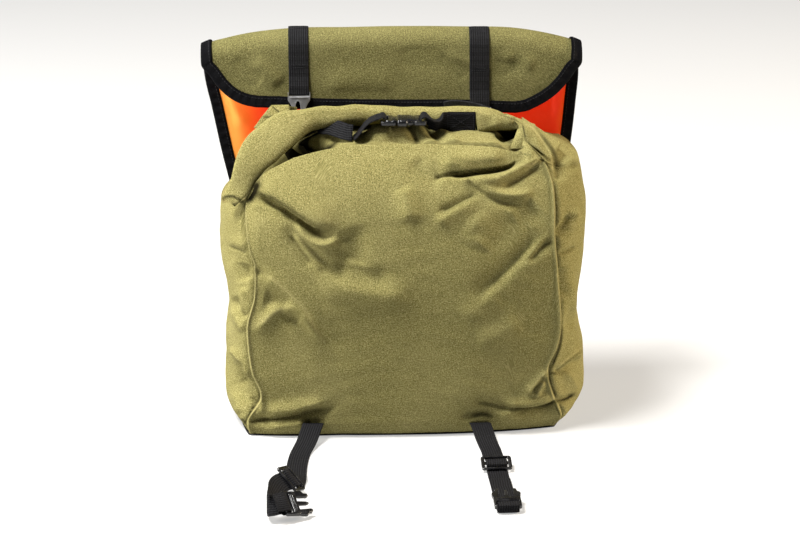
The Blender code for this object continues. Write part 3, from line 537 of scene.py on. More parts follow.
def body_point(place, share):
    """Straight lines between the seams, plus a crown (1 - |2a - 1|^CROWN_POWER) times the bulge; the lower
    left corner is pushed forwards."""
    place, share = np.broadcast_arrays(np.asarray(place, float) % 4.0, np.asarray(share, float))
    z = BASE_TOP + (read(SEAM_TOP, 1, place) - BASE_TOP) * share
    side = np.floor(place)
    across = place - side
    crown = 1 - np.abs(2 * across - 1) ** CROWN_POWER
    seam_y, middle_y = read(FRONT_Y, 1, share), read(FRONT_Y, 2, share)
    left, right = read(SEAM_X, 1, z), read(SEAM_X, 2, z)
    back_left, back_right = BACK_SEAM_X
    front = (left + (right - left) * across, seam_y + (middle_y - seam_y) * crown)
    sides = []
    for seam, column, back_x, back_share in ((right, 2, back_right, across),
                                             (left, 1, back_left, 1 - across)):
        bulge = read(SIDE_X, column, z) - (seam + back_x) / 2
        sides.append((seam + (back_x - seam) * back_share + bulge * crown,
                      seam_y + (BACK_Y - seam_y) * back_share))
    behind = (back_right + (back_left - back_right) * across, BACK_Y + 0 * z)
    x, y = (np.select([side == k for k in range(4)], column)
            for column in zip(front, sides[0], behind, sides[1]))
    corner = (np.clip((-x - CORNER_X) / CORNER_WIDE, 0, 1) * np.clip(-y / CORNER_DEEP, 0, 1)
              * np.clip(1 - share / CORNER_SHARE, 0, 1) ** 1.5)
    return np.stack([x, y - CORNER_PUSH * corner, z], -1)


def normals(points, ring=False):
    """Outward directions of a grid: across each point's column step and row step."""
    if ring:
        around = np.roll(points, -1, 1) - np.roll(points, 1, 1)
    else:
        around = np.gradient(points, axis=1)
    return unit(np.cross(around, np.gradient(points, axis=0)))


print("body height at the seam:", round(float(body_point(0.5, 1.0)[2]) * 1000), "mm")

# %% [markdown]
# ## Folds, drawn where the camera sees them
# Canvas that is stuffed and tied makes folds: sharp creases that start at a seam or knot and die out,
# and broad soft waves between them. Each fold here is a short path of pixels in the photograph with a
# height: positive swells out, negative sinks in. Every point of the cloth is looked up
# in the camera's picture, its distance from the path gives a bell curve, and the point moves along
# the cloth's own outward direction. Only cloth that faces the camera is moved in this way. The heights
# in the tables are multiplied by FOLD_SCALE, which turns them into metres and makes them 1.4 times
# as high.
# %% Fold tables
# height, width above the path, width below it, sharpness of the bell, path of pixels
FOLDS = (
    # from the left end of the roll: an overhang with a dark hollow under it
    (-8.0, 4.5, 9.0, 1.7, ((247, 197), (262, 199), (277, 204), (294, 214.5), (308, 224), (322, 231),
                           (337, 236))),
    (4.0, 14.0, 6.0, 1.6, ((257, 183), (272, 190), (290, 202), (306, 212), (322, 221), (340, 229))),
    (3.6, 4.0, 5.0, 1.8, ((291, 217), (300, 228), (309, 238), (321, 242.5), (334, 241.5), (343, 236))),
    (-3.0, 7.0, 9.0, 1.9, ((283, 223), (292, 234), (304, 248), (320, 262), (340, 272), (352, 274))),
    (2.4, 2.4, 3.0, 1.8, ((292, 231), (302, 246), (315, 262), (326, 273))),
    (-2.4, 3.0, 3.0, 1.8, ((288, 235), (299, 252), (313, 269))),
    (-4.0, 15.0, 15.0, 2.0, ((345, 228), (352, 250), (350, 266))),
    (-2.6, 9.0, 10.0, 2.0, ((334, 258), (350, 268), (372, 276), (396, 278))),
    (2.8, 9.0, 16.0, 2.0, ((316, 272), (340, 287), (366, 294), (392, 295), (414, 288))),
    # creases that leave the left seam
    (3.4, 5.0, 6.0, 1.6, ((258, 271), (268, 277), (282, 289), (295, 301), (307, 315), (318, 333),
                          (326, 345))),
    (-1.5, 3.0, 4.0, 1.8, ((252, 272), (262, 274), (272, 280))),
    (3.6, 6.0, 7.0, 1.8, ((252, 334), (262, 325), (273, 312), (286, 307), (300, 312), (312, 325),
                          (324, 343))),
    (-2.6, 7.0, 7.0, 2.0, ((283, 322), (292, 318), (302, 322))),
    (-2.4, 10.0, 10.0, 2.0, ((262, 300), (276, 303), (290, 309))),
    (2.2, 3.0, 4.0, 1.8, ((248, 206), (262, 206), (276, 209), (290, 216))),
    # under the right end of the roll: a deep hollow, and the fan of folds round it
    (-7.0, 2.4, 3.6, 1.8, ((450, 174.6), (460, 173), (475, 171.2), (492, 169.2), (508, 166), (520, 162))),
    (-2.5, 2.0, 2.6, 1.8, ((434, 177.6), (442, 176), (452, 174), (464, 172.5))),
    (4.0, 12.0, 4.0, 1.7, ((436, 166), (460, 163), (485, 159), (510, 156))),
    (-3.5, 4.5, 5.0, 1.8, ((466, 175), (472, 184), (481, 191), (494, 198), (510, 203), (526, 204))),
    (4.2, 5.0, 5.0, 1.8, ((470, 178), (480, 180), (494, 180), (508, 175), (522, 168), (536, 160),
                          (542, 154))),
    (3.4, 5.0, 4.0, 1.8, ((479, 184), (490, 192), (506, 196), (523, 195), (535, 189))),
    (-3.2, 3.5, 5.0, 1.8, ((499, 186), (510, 182), (522, 175), (532, 168), (540, 160))),
    (-3.4, 3.5, 7.0, 1.6, ((436, 214), (450, 206), (466, 198), (481, 191))),
    (3.0, 6.0, 8.0, 1.7, ((481, 192), (462, 206), (446, 216), (434, 226))),
    (-2.4, 9.0, 9.0, 2.0, ((412, 158), (420, 168), (432, 177), (444, 180))),
    (3.0, 10.0, 9.0, 2.0, ((402, 186), (408, 204), (410, 224))),
    (-2.4, 14.0, 14.0, 2.0, ((540, 206), (530, 214), (516, 222))),
    (-2.8, 10.0, 5.0, 1.8, ((543, 232), (533, 243), (518, 260), (500, 277), (484, 291), (474, 303))),
    (0.8, 7.0, 12.0, 2.0, ((548, 240), (536, 256), (520, 272), (502, 288), (486, 302))),
    (1.2, 4.0, 5.0, 1.8, ((544, 236), (534, 250), (526, 262))),
    (-2.8, 3.0, 4.0, 1.7, ((556, 243), (548, 243), (541, 248), (534, 256), (526, 262))),
    (1.6, 12.0, 14.0, 2.0, ((500, 290), (480, 306), (462, 322))),
    (2.0, 10.0, 10.0, 2.0, ((522, 318), (498, 334), (474, 342))),
    (2.4, 16.0, 14.0, 2.0, ((468, 218), (482, 234), (476, 250))),
    (-2.0, 18.0, 16.0, 2.0, ((520, 214), (504, 232), (480, 252))),
    # bottom right: two short ridges from the seam, and the roll of cloth over the base
    (3.6, 3.5, 3.5, 1.5, ((549, 368), (541, 377), (532, 386), (525, 395))),
    (2.6, 3.0, 3.0, 1.5, ((545, 380), (539, 389), (535, 397))),
    (-2.4, 3.0, 3.0, 1.8, ((545, 374), (538, 384), (531, 394))),
    (-6.5, 3.5, 4.5, 1.6, ((562, 398), (553, 402), (540, 406), (523, 408), (505, 408))),
    (3.2, 5.0, 3.0, 1.7, ((556, 396), (540, 401), (520, 403), (502, 402))),
    (-2.4, 3.0, 4.0, 1.8, ((472, 402), (486, 403), (500, 406), (514, 408))),
    (-2.6, 3.5, 4.5, 1.8, ((458, 419), (470, 414), (484, 413), (498, 418))),
    (2.4, 5.0, 5.0, 1.8, ((498, 416), (510, 412), (520, 406))),
    # bottom left
    (-4.8, 4.0, 4.0, 1.6, ((240, 421), (256, 421), (272, 420), (290, 418), (308, 414.5), (324, 411),
                           (338, 407))),
    (3.0, 6.0, 4.0, 1.8, ((262, 411), (285, 409), (308, 405), (330, 400))),
    (2.0, 3.0, 3.0, 1.6, ((257, 386), (261.5, 397), (262.5, 408), (261, 413))),
    (-2.6, 3.0, 3.0, 1.8, ((252, 396), (254, 404), (252, 412))),
    (2.6, 8.0, 5.0, 2.0, ((262, 428), (290, 424), (310, 422))),
    (-2.4, 7.0, 7.0, 2.0, ((300, 425), (312, 421), (324, 426))),
    # left gusset
    (-2.4, 1.6, 2.0, 1.7, ((219, 200), (225, 198), (231, 197.5), (239, 200), (245, 205))),
    (-1.0, 2.0, 2.4, 1.8, ((228, 246), (238, 249), (249, 254))),
    (1.2, 5.0, 5.0, 1.8, ((230, 240), (240, 243), (247, 247))),
    (-4.0, 6.0, 6.0, 1.9, ((246, 263), (244, 272), (246, 282))),
    (2.6, 4.0, 4.0, 1.8, ((244, 286), (243, 300), (241, 316))),
    (3.0, 3.5, 3.0, 1.6, ((229, 350), (234, 352), (240, 359), (246, 370), (251, 382))),
    (-4.4, 3.5, 4.5, 1.8, ((236, 358), (241, 368), (243, 378), (241, 388))),
    (2.6, 4.0, 4.0, 1.8, ((231, 306), (238, 320), (245, 333))),
    (-3.0, 5.0, 5.0, 1.9, ((232, 296), (238, 308), (244, 322))),
    (2.2, 4.0, 4.0, 1.8, ((236, 392), (239, 404), (240, 414))),
    # right gusset
    (-4.6, 3.0, 6.0, 1.7, ((570, 212), (566, 222), (560, 230), (557, 236))),
    (3.2, 4.0, 4.0, 1.8, ((576, 206), (573, 220), (567, 232))),
    (-2.6, 2.0, 2.6, 1.6, ((558, 254), (564, 252), (572, 249), (573, 251))),
    (-4.0, 4.0, 4.0, 1.8, ((561, 266), (563, 280), (564, 300))),
    (3.8, 4.0, 4.0, 1.6, ((583, 346), (574, 356), (564, 364), (556, 371))),
    (-4.2, 3.5, 4.5, 1.7, ((579, 356), (570, 364), (560, 370), (557, 376))),
    (3.0, 4.0, 4.0, 1.7, ((563, 370), (570, 378), (577, 391))),
    (-4.4, 3.0, 4.0, 1.6, ((577, 394), (568, 399), (558, 401))),
    (-2.6, 5.0, 5.0, 1.9, ((568, 330), (572, 318), (575, 306))),
    (2.4, 5.0, 5.0, 1.9, ((577, 320), (573, 300), (570, 280))),
    (-3.4, 5.0, 6.0, 1.8, ((558, 156), (560, 168), (558, 182))),
)
# how far in mm the cloth above slides down over the path, how wide a strip of it, path of pixels
OVERHANGS = (
    (5.0, 6.0, ((254, 188), (264, 190.5), (277, 196.5), (294, 208), (308, 218), (322, 226.5), (334, 232))),
    (5.0, 5.0, ((450, 170.8), (460, 168.6), (474, 166.4), (490, 164.2), (508, 161), (519, 157.5))),
    (3.0, 4.0, ((262, 418), (276, 416), (292, 412.5), (310, 409.5))),
    (3.5, 4.0, ((508, 406), (523, 406), (540, 404), (552, 400.5), (560, 397))),
    (2.0, 3.5, ((440, 212), (452, 205), (466, 197.5), (480, 191))),
    (2.0, 3.5, ((300, 229), (309, 239), (320, 244), (334, 243))),
)
# painted shade in creases, and painted highlight (negative) on lit ridges and edges: shade, width above and
# below the line in pixels, path of pixels
CREASES = (
    (1.05, 1.2, 1.3, ((220, 199.4), (225, 197), (230, 196.3), (234, 196.7), (238, 198.8), (241, 201),
                      (245, 204.8))),
    (1.30, 3.4, 3.6, ((247, 204), (250.5, 198), (253.8, 192), (256.4, 186), (259.5, 180))),
    (0.70, 2.6, 1.4, ((255, 194), (263, 195.6), (271, 197.8), (279, 202.6), (287, 207.6), (295, 213.4),
                      (303, 218.4))),
    (0.50, 2.0, 1.2, ((296, 214), (303, 218.4), (311, 223.8), (322, 230.5), (334, 236))),
    (0.50, 0.8, 0.8, ((229, 245.5), (236, 248.2), (243.5, 251.4), (248, 253.7))),
    (0.90, 1.7, 1.3, ((436, 177.6), (446, 174.3), (455, 172.6), (466, 171.6), (477, 170), (488, 169),
                      (497, 168), (505, 166.4), (513, 164), (520, 162))),
    (0.35, 1.2, 2.2, ((467, 177), (471.5, 183), (480, 188.7), (488, 193.7), (500, 197), (513, 198.5),
                      (524, 197))),
    (0.35, 1.2, 2.4, ((440, 213.5), (447, 210), (459, 204), (471.5, 197), (481, 191.6))),
    (0.22, 1.2, 2.6, ((500, 183.5), (510, 180.5), (520, 176), (530, 169.5), (538.5, 161.5))),
    (-0.35, 1.0, 1.0, ((521, 165), (528, 165.5), (534, 163.5), (540, 158.5))),
    (0.30, 1.2, 2.2, ((557, 243), (548, 243.5), (541, 248), (534, 256))),
    (0.30, 3.0, 1.6, ((541, 235), (530, 246), (515, 261), (500, 276), (488, 287))),
    (0.35, 1.2, 2.0, ((288, 221), (297, 233), (308, 246), (320, 258))),
    (0.30, 3.0, 1.2, ((447, 158), (470, 162), (495, 161), (512, 157))),
    # painted highlights on the lit edges of the creases at the left seam
    (-0.30, 1.0, 1.2, ((264, 273), (273, 279.5), (282, 287), (297, 301), (306, 311), (315, 328), (325, 343))),
    (-0.22, 2.4, 2.4, ((253, 327), (266, 320), (276, 312), (288, 308))),
    # bottom left: the seam runs into the corner and the cloth rolls over the base
    (0.90, 0.9, 0.9, ((259.6, 397), (254.5, 405.5), (249.5, 414), (244.8, 423))),
    (0.80, 1.6, 1.6, ((240.5, 418.5), (243.8, 421), (246.3, 424.5))),
    (0.45, 1.8, 2.6, ((247, 419.5), (262, 419.3), (276, 417.4), (290, 414.8), (304, 412.5), (318, 410),
                      (332, 406.5))),
    (0.55, 2.0, 2.0, ((302, 421), (308, 420), (316, 419.6), (323, 421))),
    # bottom right
    (1.00, 1.1, 1.1, ((561.8, 322), (561.5, 336), (560, 346), (557.5, 354), (553.5, 363), (549, 372.5))),
    (0.90, 1.0, 1.0, ((548, 374.5), (550, 382), (553, 390), (557, 398.5))),
    (0.85, 0.8, 0.8, ((555, 404.5), (558, 411), (561, 417))),
    (0.75, 1.1, 1.8, ((536, 407), (545, 405), (553, 402), (563, 399.4), (570, 396), (576, 392))),
    (0.45, 1.2, 2.4, ((475, 402), (483, 403.2), (492, 404.6), (501, 407.4), (509, 409.2), (519, 408),
                      (530, 406.8))),
    (0.75, 2.6, 2.4, ((469, 417.5), (476, 415.5), (483, 414.5), (490, 416.5), (496, 417.5))),
    (-0.35, 0.9, 0.9, ((550, 368), (543, 375), (535, 384), (527, 394))),
    (-0.35, 0.8, 0.8, ((546, 379), (541, 387), (536.5, 395))),
    (0.45, 1.0, 1.4, ((546, 374), (539, 383), (532, 393))),
    (0.80, 1.4, 1.4, ((549, 374), (553, 373), (557, 374.5))),
    (0.40, 1.2, 1.2, ((583, 350), (575, 356), (566, 363), (558, 371))),
    (-0.35, 1.0, 1.0, ((583, 347), (575, 353.5), (566, 360), (555, 370.5))),
    (0.45, 1.0, 1.4, ((575, 393.5), (567, 398.5), (560, 400.5))),
    # right shoulder: a painted highlight along the ridge that runs down to the seam, with painted shade on
    # its outer side
    (-0.45, 1.0, 1.0, ((524, 123.6), (533, 128.4), (543, 141.3), (550.5, 153.6), (552.6, 168), (553.4, 180))),
    (0.70, 2.4, 2.4, ((537, 129), (546, 141.5), (554.5, 154), (556.4, 166), (556.2, 177))),
    (0.80, 0.8, 0.8, ((526, 140), (534, 149.5), (541.5, 158), (548, 166), (552, 172))),
    (0.45, 1.4, 1.4, ((571, 213), (566, 222), (561, 230))),
    (0.45, 0.9, 0.9, ((559, 254), (565, 252), (572, 249.5))),
)
# painted shade in the dip beside a seam and painted highlight on its ridge: strength, distance from the seam,
# width; the left dip is weaker
SEAM_SHADES = {"ridge": (-0.32, 0.0020, 0.0013), "dip": (0.95, 0.0012, 0.0015)}
LEFT_DIP = 0.7
FACING_FROM, FACING_FULL = 0.05, 0.30
FOLD_SCALE = 0.0014
FOLD_REACH = 3.2
HANGING_EDGE = 1.2


def nearest_on(px, py, path, reach):
    """For points near a path of pixels: which ones, how far off, whether below it, how far along it as a
    share, and the path's direction there."""
    line = curve_through(path, 8 * len(path) - 7)
    low, high = line.min(0) - reach, line.max(0) + reach
    near = (px > low[0]) & (px < high[0]) & (py > low[1]) & (py < high[1])
    start, run = line[:-1], np.diff(line, axis=0)
    dx, dy = px[near][:, None] - start[:, 0], py[near][:, None] - start[:, 1]
    t = np.clip((dx * run[:, 0] + dy * run[:, 1]) / (run ** 2).sum(1), 0, 1)
    ox, oy = dx - t * run[:, 0], dy - t * run[:, 1]
    best = np.hypot(ox, oy).argmin(1)
    rows = np.arange(len(best))
    way = run[best] * np.where(run[best, :1] >= 0, 1.0, -1.0)
    side = way[:, 0] * oy[rows, best] - way[:, 1] * ox[rows, best]
    return near, np.hypot(ox, oy)[rows, best], side > 0, (best + t[rows, best]) / len(run), unit(way)


def fade_at_ends(done, floor):
    """1 in the middle of a path, down to floor at both ends, by a smooth step."""
    fade = np.clip(np.minimum(done, 1 - done) * 4, 0.0, 1.0)
    return floor + (1 - floor) * fade * fade * (3 - 2 * fade)


def fold_height(px, py, folds):
    """Sum of bells across each path, in metres; each fades over its first and last quarter."""
    total = np.zeros_like(px)
    for height, above, below, sharp, path in folds:
        near, apart, under, done, _ = nearest_on(px, py, path, FOLD_REACH * max(above, below))
        width = np.where(under, below, above)
        total[near] += FOLD_SCALE * height * fade_at_ends(done, 0.08) * np.exp(-(apart / width) ** sharp)
    return total


def overhang_shift(px, py, overhangs):
    """Slides the cloth above a path down over it, so that it hangs over the hollow below."""
    shift = np.zeros(px.shape + (3,))
    for slide, width, path in overhangs:
        near, apart, under, done, way = nearest_on(px, py, path, 3 * width)
        bell = np.exp(-(apart / np.where(under, HANGING_EDGE, width)) ** 2)
        amount = slide * 0.001 * fade_at_ends(done, 0.0) * bell
        shift[near] += amount[:, None] * (EYE_RIGHT * -way[:, 1:] - EYE_UP * way[:, :1])
    return shift


def crease_shade(points, outward, creases):
    """Sum of bells across each crease, where the cloth faces the camera: the painted shade, or painted
    highlight where negative, that the attribute shade stores.
    """
    px, py = pixel_of(points)
    total = np.zeros_like(px)
    for strength, above, below, path in creases:
        near, apart, under, done, _ = nearest_on(px, py, path, 3.0 * max(above, below))
        width = np.where(under, below, above)
        total[near] += strength * fade_at_ends(done, 0.25) * np.exp(-(apart / width) ** 2)
    return total * np.clip((outward @ TO_EYE) * 10, 0, 1)


def folded(points, outward, folds, calm=1.0):
    """Moves points out by the folds' height where the cloth faces the camera."""
    px, py = pixel_of(points)
    facing = np.clip((outward @ TO_EYE - FACING_FROM) / (FACING_FULL - FACING_FROM), 0, 1) * calm
    moved = points + outward * (fold_height(px, py, folds) * facing)[..., None]
    return moved + overhang_shift(px, py, OVERHANGS) * facing[..., None]


print(len(FOLDS), "folds")

# %% [markdown]
# ## The four walls of the body
# Each wall is one panel of canvas. Where two panels are sewn, the seam allowance inside makes a thin
# ridge on the front panel, and the neighbour dips beside it: that is the pale line with a dark side
# that runs down both sides of the front, strengthened by a painted highlight on the ridge and painted
# shade in the dip. A few random ripples, always the same ones, keep the large faces from looking
# pressed flat.
# %% Front, side and back panels
SEAM_RIDGE, SEAM_RIDGE_WIDTH = 0.0014, 0.0018
SEAM_DIP, SEAM_DIP_WIDTH = 0.0050, 0.0042
SEAM_DROP, SEAM_DROP_WIDTH = 0.0022, 0.0013
TOP_FADE, SEAM_CALM = 0.08, 0.006  # share of the height and width where dips and folds fade out
BROAD_WAVES, FINE_WAVES = 14.0, 42.0
# name, seam it starts at, columns, rows, whether each seam has a ridge, solid, ripple, flat size
WALLS = (
    ("front_cloth", 0, 232, 212, (True, True), "front_panel", 0.0007, (0.315, 0.290)),
    ("side_cloth_right", 1, 96, 200, (False, True), "side_panel_right", 0.0010, (0.175, 0.265)),
    ("back_cloth", 2, 64, 60, (False, False), "back_panel", 0.0006, (0.320, 0.255)),
    ("side_cloth_left", 3, 96, 200, (True, False), "side_panel_left", 0.0010, (0.172, 0.245)),
)


def seam_profile(distance, ridge):
    """A ridge beside the seam and a drop into it: two bells of the distance from the seam."""
    drop = SEAM_DROP * np.exp(-(distance / SEAM_DROP_WIDTH) ** 2)
    if ridge:
        return SEAM_RIDGE * np.exp(-((distance - 0.0022) / SEAM_RIDGE_WIDTH) ** 2) - drop
    return -SEAM_DIP * np.exp(-(distance / SEAM_DIP_WIDTH) ** 2) - 0.3 * drop


def seam_shade(kind, distance):
    """One bell of painted shade beside the seam, or of painted highlight where the strength is negative."""
    strength, at, width = SEAM_SHADES[kind]
    return strength * np.exp(-((distance - at) / width) ** 2)


def even_with_close_ends(count, crowd):
    """Shares 0..1, closer together near both ends by a blend with a cosine."""
    t = np.linspace(0, 1, count)
    return (1 - crowd) * t + crowd * (1 - np.cos(pi * t)) / 2


def wall(name, start, columns, rows, ridge_sides, node, ripple, cut):
    """One panel: the body's formula, then seams, folds and ripples along its outward direction."""
    place = start + np.clip(even_with_close_ends(columns, 0.5), 0, 1 - 1e-9)
    share = even_with_close_ends(rows, 0.35)
    points = body_point(place[None, :], share[:, None])
    outward = normals(points)
    across, low = lengths(points, 1), np.clip((1 - share) / TOP_FADE, 0.15, 1)[:, None]
    seams = list(zip(ridge_sides, (across, across[:, -1:] - across)))
    for ridge, distance in seams:
        points = points + outward * (seam_profile(distance, ridge) * (1.0 if ridge else low))[..., None]
    calm = np.clip(np.minimum(across, across[:, -1:] - across) / SEAM_CALM, 0, 1)
    points = folded(points, outward, FOLDS, 0.25 + 0.75 * calm)
    wave = soft_noise(points, BROAD_WAVES, 5 + start) * 0.7 + soft_noise(points, FINE_WAVES, 9 + start) * 0.3
    points = points + outward * (ripple * wave * calm)[..., None]
    points[..., 1] = np.minimum(points[..., 1], BACK_Y)
    points[..., 2] = np.maximum(points[..., 2], BASE_TOP)
    # painted shade in the creases and in the dip beside a seam, painted highlight on a seam's ridge
    shade = crease_shade(points, normals(points), CREASES)
    for ridge, distance in seams:
        if ridge:
            shade = shade + seam_shade("ridge", distance)
        elif node != "back_panel":
            strength = 1.0 if node == "side_panel_right" else LEFT_DIP
            shade = shade + seam_shade("dip", distance) * strength * low
    cloth_sheet(name, points, CANVAS, replaces=(node,), slot="olive_canvas", shade=shade, cut=cut,
                on=["base_cloth"])


for row in WALLS:
    wall(*row)

# %% [markdown]
# ## The gathered collar
# Above the upper seam the canvas is drawn together into the narrow line that is rolled. It is a
# second loft, from the seam to a slot under the roll. How fast it rises differs round the bag: it
# bulges at the shoulders and lies back at the front left, where the roll is pulled down. The hollows
# between the roll and the front panel are folds as before, only deeper, and painted shade darkens them
# further.
# %% Collar
# middle of the roll x, y, z, half of its height, half of its thickness
ROLL = (
    (-0.1655, -0.052, 0.2315, 0.0085, 0.0050), (-0.1565, -0.049, 0.2425, 0.0100, 0.0060),
    (-0.1455, -0.041, 0.2640, 0.015, 0.0100),
    (-0.1300, -0.031, 0.2800, 0.019, 0.0125), (-0.1120, -0.022, 0.2925, 0.0180, 0.0140),
    (-0.0920, -0.013, 0.2995, 0.0120, 0.0145), (-0.0680, -0.008, 0.3020, 0.0105, 0.0140),
    (-0.0390, -0.004, 0.3025, 0.010, 0.0125), (0.0000, -0.002, 0.3000, 0.010, 0.0120),
    (0.0390, -0.002, 0.2995, 0.010, 0.0120), (0.0770, -0.004, 0.3000, 0.010, 0.0120),
    (0.1060, -0.009, 0.2960, 0.008, 0.0100),
)
NECK_TUCK = 0.0018
SLOT_X = (-0.098, 0.119)
SLOT_LEFT_DIP, SLOT_HALF, SLOT_RIGHT_Z = 0.006, 0.005, 0.291
# place round the bag, power of the share by which the collar rises
COLLAR_RISE = (
    (0.0, 2.2), (0.2, 1.5), (0.4, 1.0), (0.8, 0.8), (1.0, 0.70), (1.5, 0.95), (1.9, 1.05), (2.2, 1.35),
    (2.6, 1.2), (3.0, 1.0), (3.5, 1.9), (4.0, 2.2),
)
COLLAR_FOLDS = (
    # the dark gap under the slanting left part of the roll
    (-20.0, 6.0, 6.5, 3.0, ((246, 202), (255, 188), (266, 174), (281, 163), (298, 152), (316, 147),
                            (332, 142))),
    (4.0, 4.0, 5.0, 2.0, ((322, 137), (334, 133), (346, 134), (352, 140))),
    # the neck under the buckle: a rolled edge and soft pleats from the tabs
    (-3.0, 1.5, 2.0, 1.8, ((352, 143), (366, 141), (380, 143), (394, 142), (410, 144), (430, 146))),
    (8.0, 5.0, 7.0, 2.4, ((362, 137), (376, 135.5), (392, 135), (412, 133), (432, 133))),
    (3.2, 4.0, 4.0, 1.8, ((412, 124), (420, 133), (434, 141), (446, 146))),
    (-3.4, 3.0, 4.0, 1.8, ((404, 128), (414, 138), (424, 146))),
    (3.0, 4.0, 5.0, 1.8, ((430, 127), (441, 133), (452, 140), (462, 145))),
    (-3.0, 3.0, 3.0, 1.8, ((426, 132), (436, 140), (446, 148))),
    (3.0, 6.0, 7.0, 2.0, ((450, 138), (470, 136), (490, 139), (508, 146))),
    (-9.0, 3.5, 5.0, 1.8, ((494, 138), (504, 134), (514, 130), (521, 128))),
    (-4.0, 2.6, 3.0, 1.8, ((508, 150), (516, 147), (524, 141))),
    # the ridge of the right shoulder and the pleats that run down from it
    (4.0, 3.0, 4.0, 1.6, ((490, 110), (512, 116), (524, 124), (533, 130), (543, 143), (551, 156),
                          (554, 172))),
    (-4.0, 3.0, 3.0, 1.8, ((520, 124), (526, 138), (536, 149), (546, 158))),
    (-4.5, 6.0, 7.0, 1.9, ((556, 152), (561, 166), (560, 180))),
    (2.6, 5.0, 6.0, 1.9, ((540, 132), (554, 144), (567, 156), (575, 170))),
    (-2.2, 5.0, 5.0, 1.9, ((546, 132), (560, 146), (572, 160))),
    (2.4, 4.0, 5.0, 1.9, ((484, 116), (500, 120), (516, 124))),
    (-2.8, 3.0, 4.0, 1.9, ((478, 122), (494, 124), (508, 124))),
)
# painted shade in the gap between the roll and the front panel, and along the line of the neck's seam
GAP_CREASES = (
    (1.0, 5.0, 5.0, ((244, 206), (250, 197), (256, 188), (264, 178), (273, 170), (285, 160), (296, 153),
                     (308, 150), (320, 150))),
    (1.0, 2.4, 3.4, ((262, 178), (274, 168), (286, 157), (297, 147), (308, 138), (318, 131), (328, 125.5))),
    (0.8, 4.0, 4.0, ((286, 158), (296, 150), (304, 144), (310, 144))),
    (1.6, 4.2, 4.2, ((293, 139), (302, 147), (311, 154))),
    (1.2, 3.6, 3.6, ((296, 157), (306, 155.5), (316, 154), (327, 150.5), (333, 147))),
    (0.6, 2.0, 2.0, ((316, 152), (326, 149), (334, 144), (338, 140))),
    (0.55, 0.9, 0.9, ((424, 144.6), (447, 146), (463, 146.8), (481, 148), (498, 150.1), (516, 152))),
    (0.95, 1.6, 1.8, ((497, 136.5), (503, 139), (509, 140.5), (513, 138))),
    (0.60, 0.8, 0.8, ((509, 143), (516, 141.5), (524.5, 138))),
)
# painted shade along the lower lip of the roll, and along a crease on its right part
ROLL_CREASES = (
    (0.60, 3.2, 2.0, ((246, 203), (254, 183.5), (268, 169.5), (282, 158.5), (296, 148), (310, 138.5),
                      (324, 129.5), (336, 123), (352, 119.5))),
    (0.35, 1.0, 2.2, ((474, 116), (483, 117.5), (495, 119.6), (507, 119.8))),
)


def slot_point(place):
    """The loop under the roll: two lines SLOT_HALF from the roll's middle, joined at both ends."""
    place = place % 4.0
    across = place - np.floor(place)
    left, right = SLOT_X
    sides = [place < 1, place < 2, place < 3]
    x = np.select(sides, [left + (right - left) * across, right + 0 * across,
                          right + (left - right) * across], left)
    lean = np.select(sides, [-1 + 0 * across, 2 * across - 1, 1 + 0 * across], 1 - 2 * across)
    slope = (read(ROLL, 2, x + 0.004) - read(ROLL, 2, x - 0.004)) / 0.008
    z = read(ROLL, 2, x) - read(ROLL, 3, x) * np.hypot(1, slope) - 0.0009
    z = z - SLOT_LEFT_DIP * np.clip((-0.068 - x) / 0.03, 0, 1)
    tucked = np.clip((x - ROLL[-1][0] - 0.004) / 0.008, 0, 1)
    return np.stack([x, read(ROLL, 1, x) + lean * SLOT_HALF, z + (SLOT_RIGHT_Z - z) * tucked], -1)


def collar_grid(columns, rows):
    """From the seam to the slot, the height rising as a power of the share."""
    place = np.linspace(0, 4, columns, endpoint=False)
    share = np.linspace(0, 1, rows)[:, None]
    seam, slot = body_point(place, 1.0), slot_point(place)
    points = seam + (slot - seam) * share[..., None]
    points[..., 2] = seam[:, 2] + (slot[:, 2] - seam[:, 2]) * share ** read(COLLAR_RISE, 1, place)
    return place, share, points


def smoothed_round(points, times):
    """Averages each point with its neighbours round the ring: softens sharp corners."""
    for _ in range(times):
        points = 0.5 * points + 0.25 * (np.roll(points, 1, 1) + np.roll(points, -1, 1))
    return points


place, share, collar_points = collar_grid(420, 58)
outward = normals(smoothed_round(collar_points, 6), ring=True)
at_seam = lengths(collar_points, 0)
# the roll hides the back of the collar, so the folds and creases seen in front of it stop at the sides
seen = np.where(place < 2.4, np.clip((1.6 - place) / 0.2, 0, 1), np.clip((place - 3.2) / 0.2, 0, 1))
collar_points = folded(collar_points, outward, COLLAR_FOLDS + FOLDS, np.clip(at_seam / 0.004, 0.35, 1) * seen)
wave = soft_noise(collar_points, 24.0, 21)
collar_points = collar_points + outward * (0.0011 * wave * np.clip(at_seam / 0.01, 0, 1))[..., None]
tuck = np.where(place < 1, NECK_TUCK, 0.0)
collar_points = collar_points - outward * (tuck * np.exp(-(at_seam / 0.0016) ** 2))[..., None]
# painted shade in the creases and in the gap under the roll
collar_shade = seen * crease_shade(collar_points, normals(smoothed_round(collar_points, 2), ring=True),
                                   CREASES + GAP_CREASES)
cloth_sheet("collar_cloth", collar_points, CANVAS, ring=True, replaces=("collar",), slot="olive_canvas",
            shade=collar_shade, cut=(0.800, 0.075), held="gathered", on=["front_cloth", "back_cloth"])

# %% [markdown]
# ## The roll
# The mouth of the bag is rolled up several turns and its left end is pulled down towards the front.
# A roll is a spiral carried along a path: its section winds once round and then on inside itself, so
# the lower lip of the last turn shows as a clean rounded edge with shadow under it. The path and the
# size of the section come from the table above. The inner turns and the end rim are given a dark
# shade, because little light reaches them.
# %% Rolled canvas
ROLL_START, ROLL_END = radians(236), radians(-236)
ROLL_INNER = 0.66
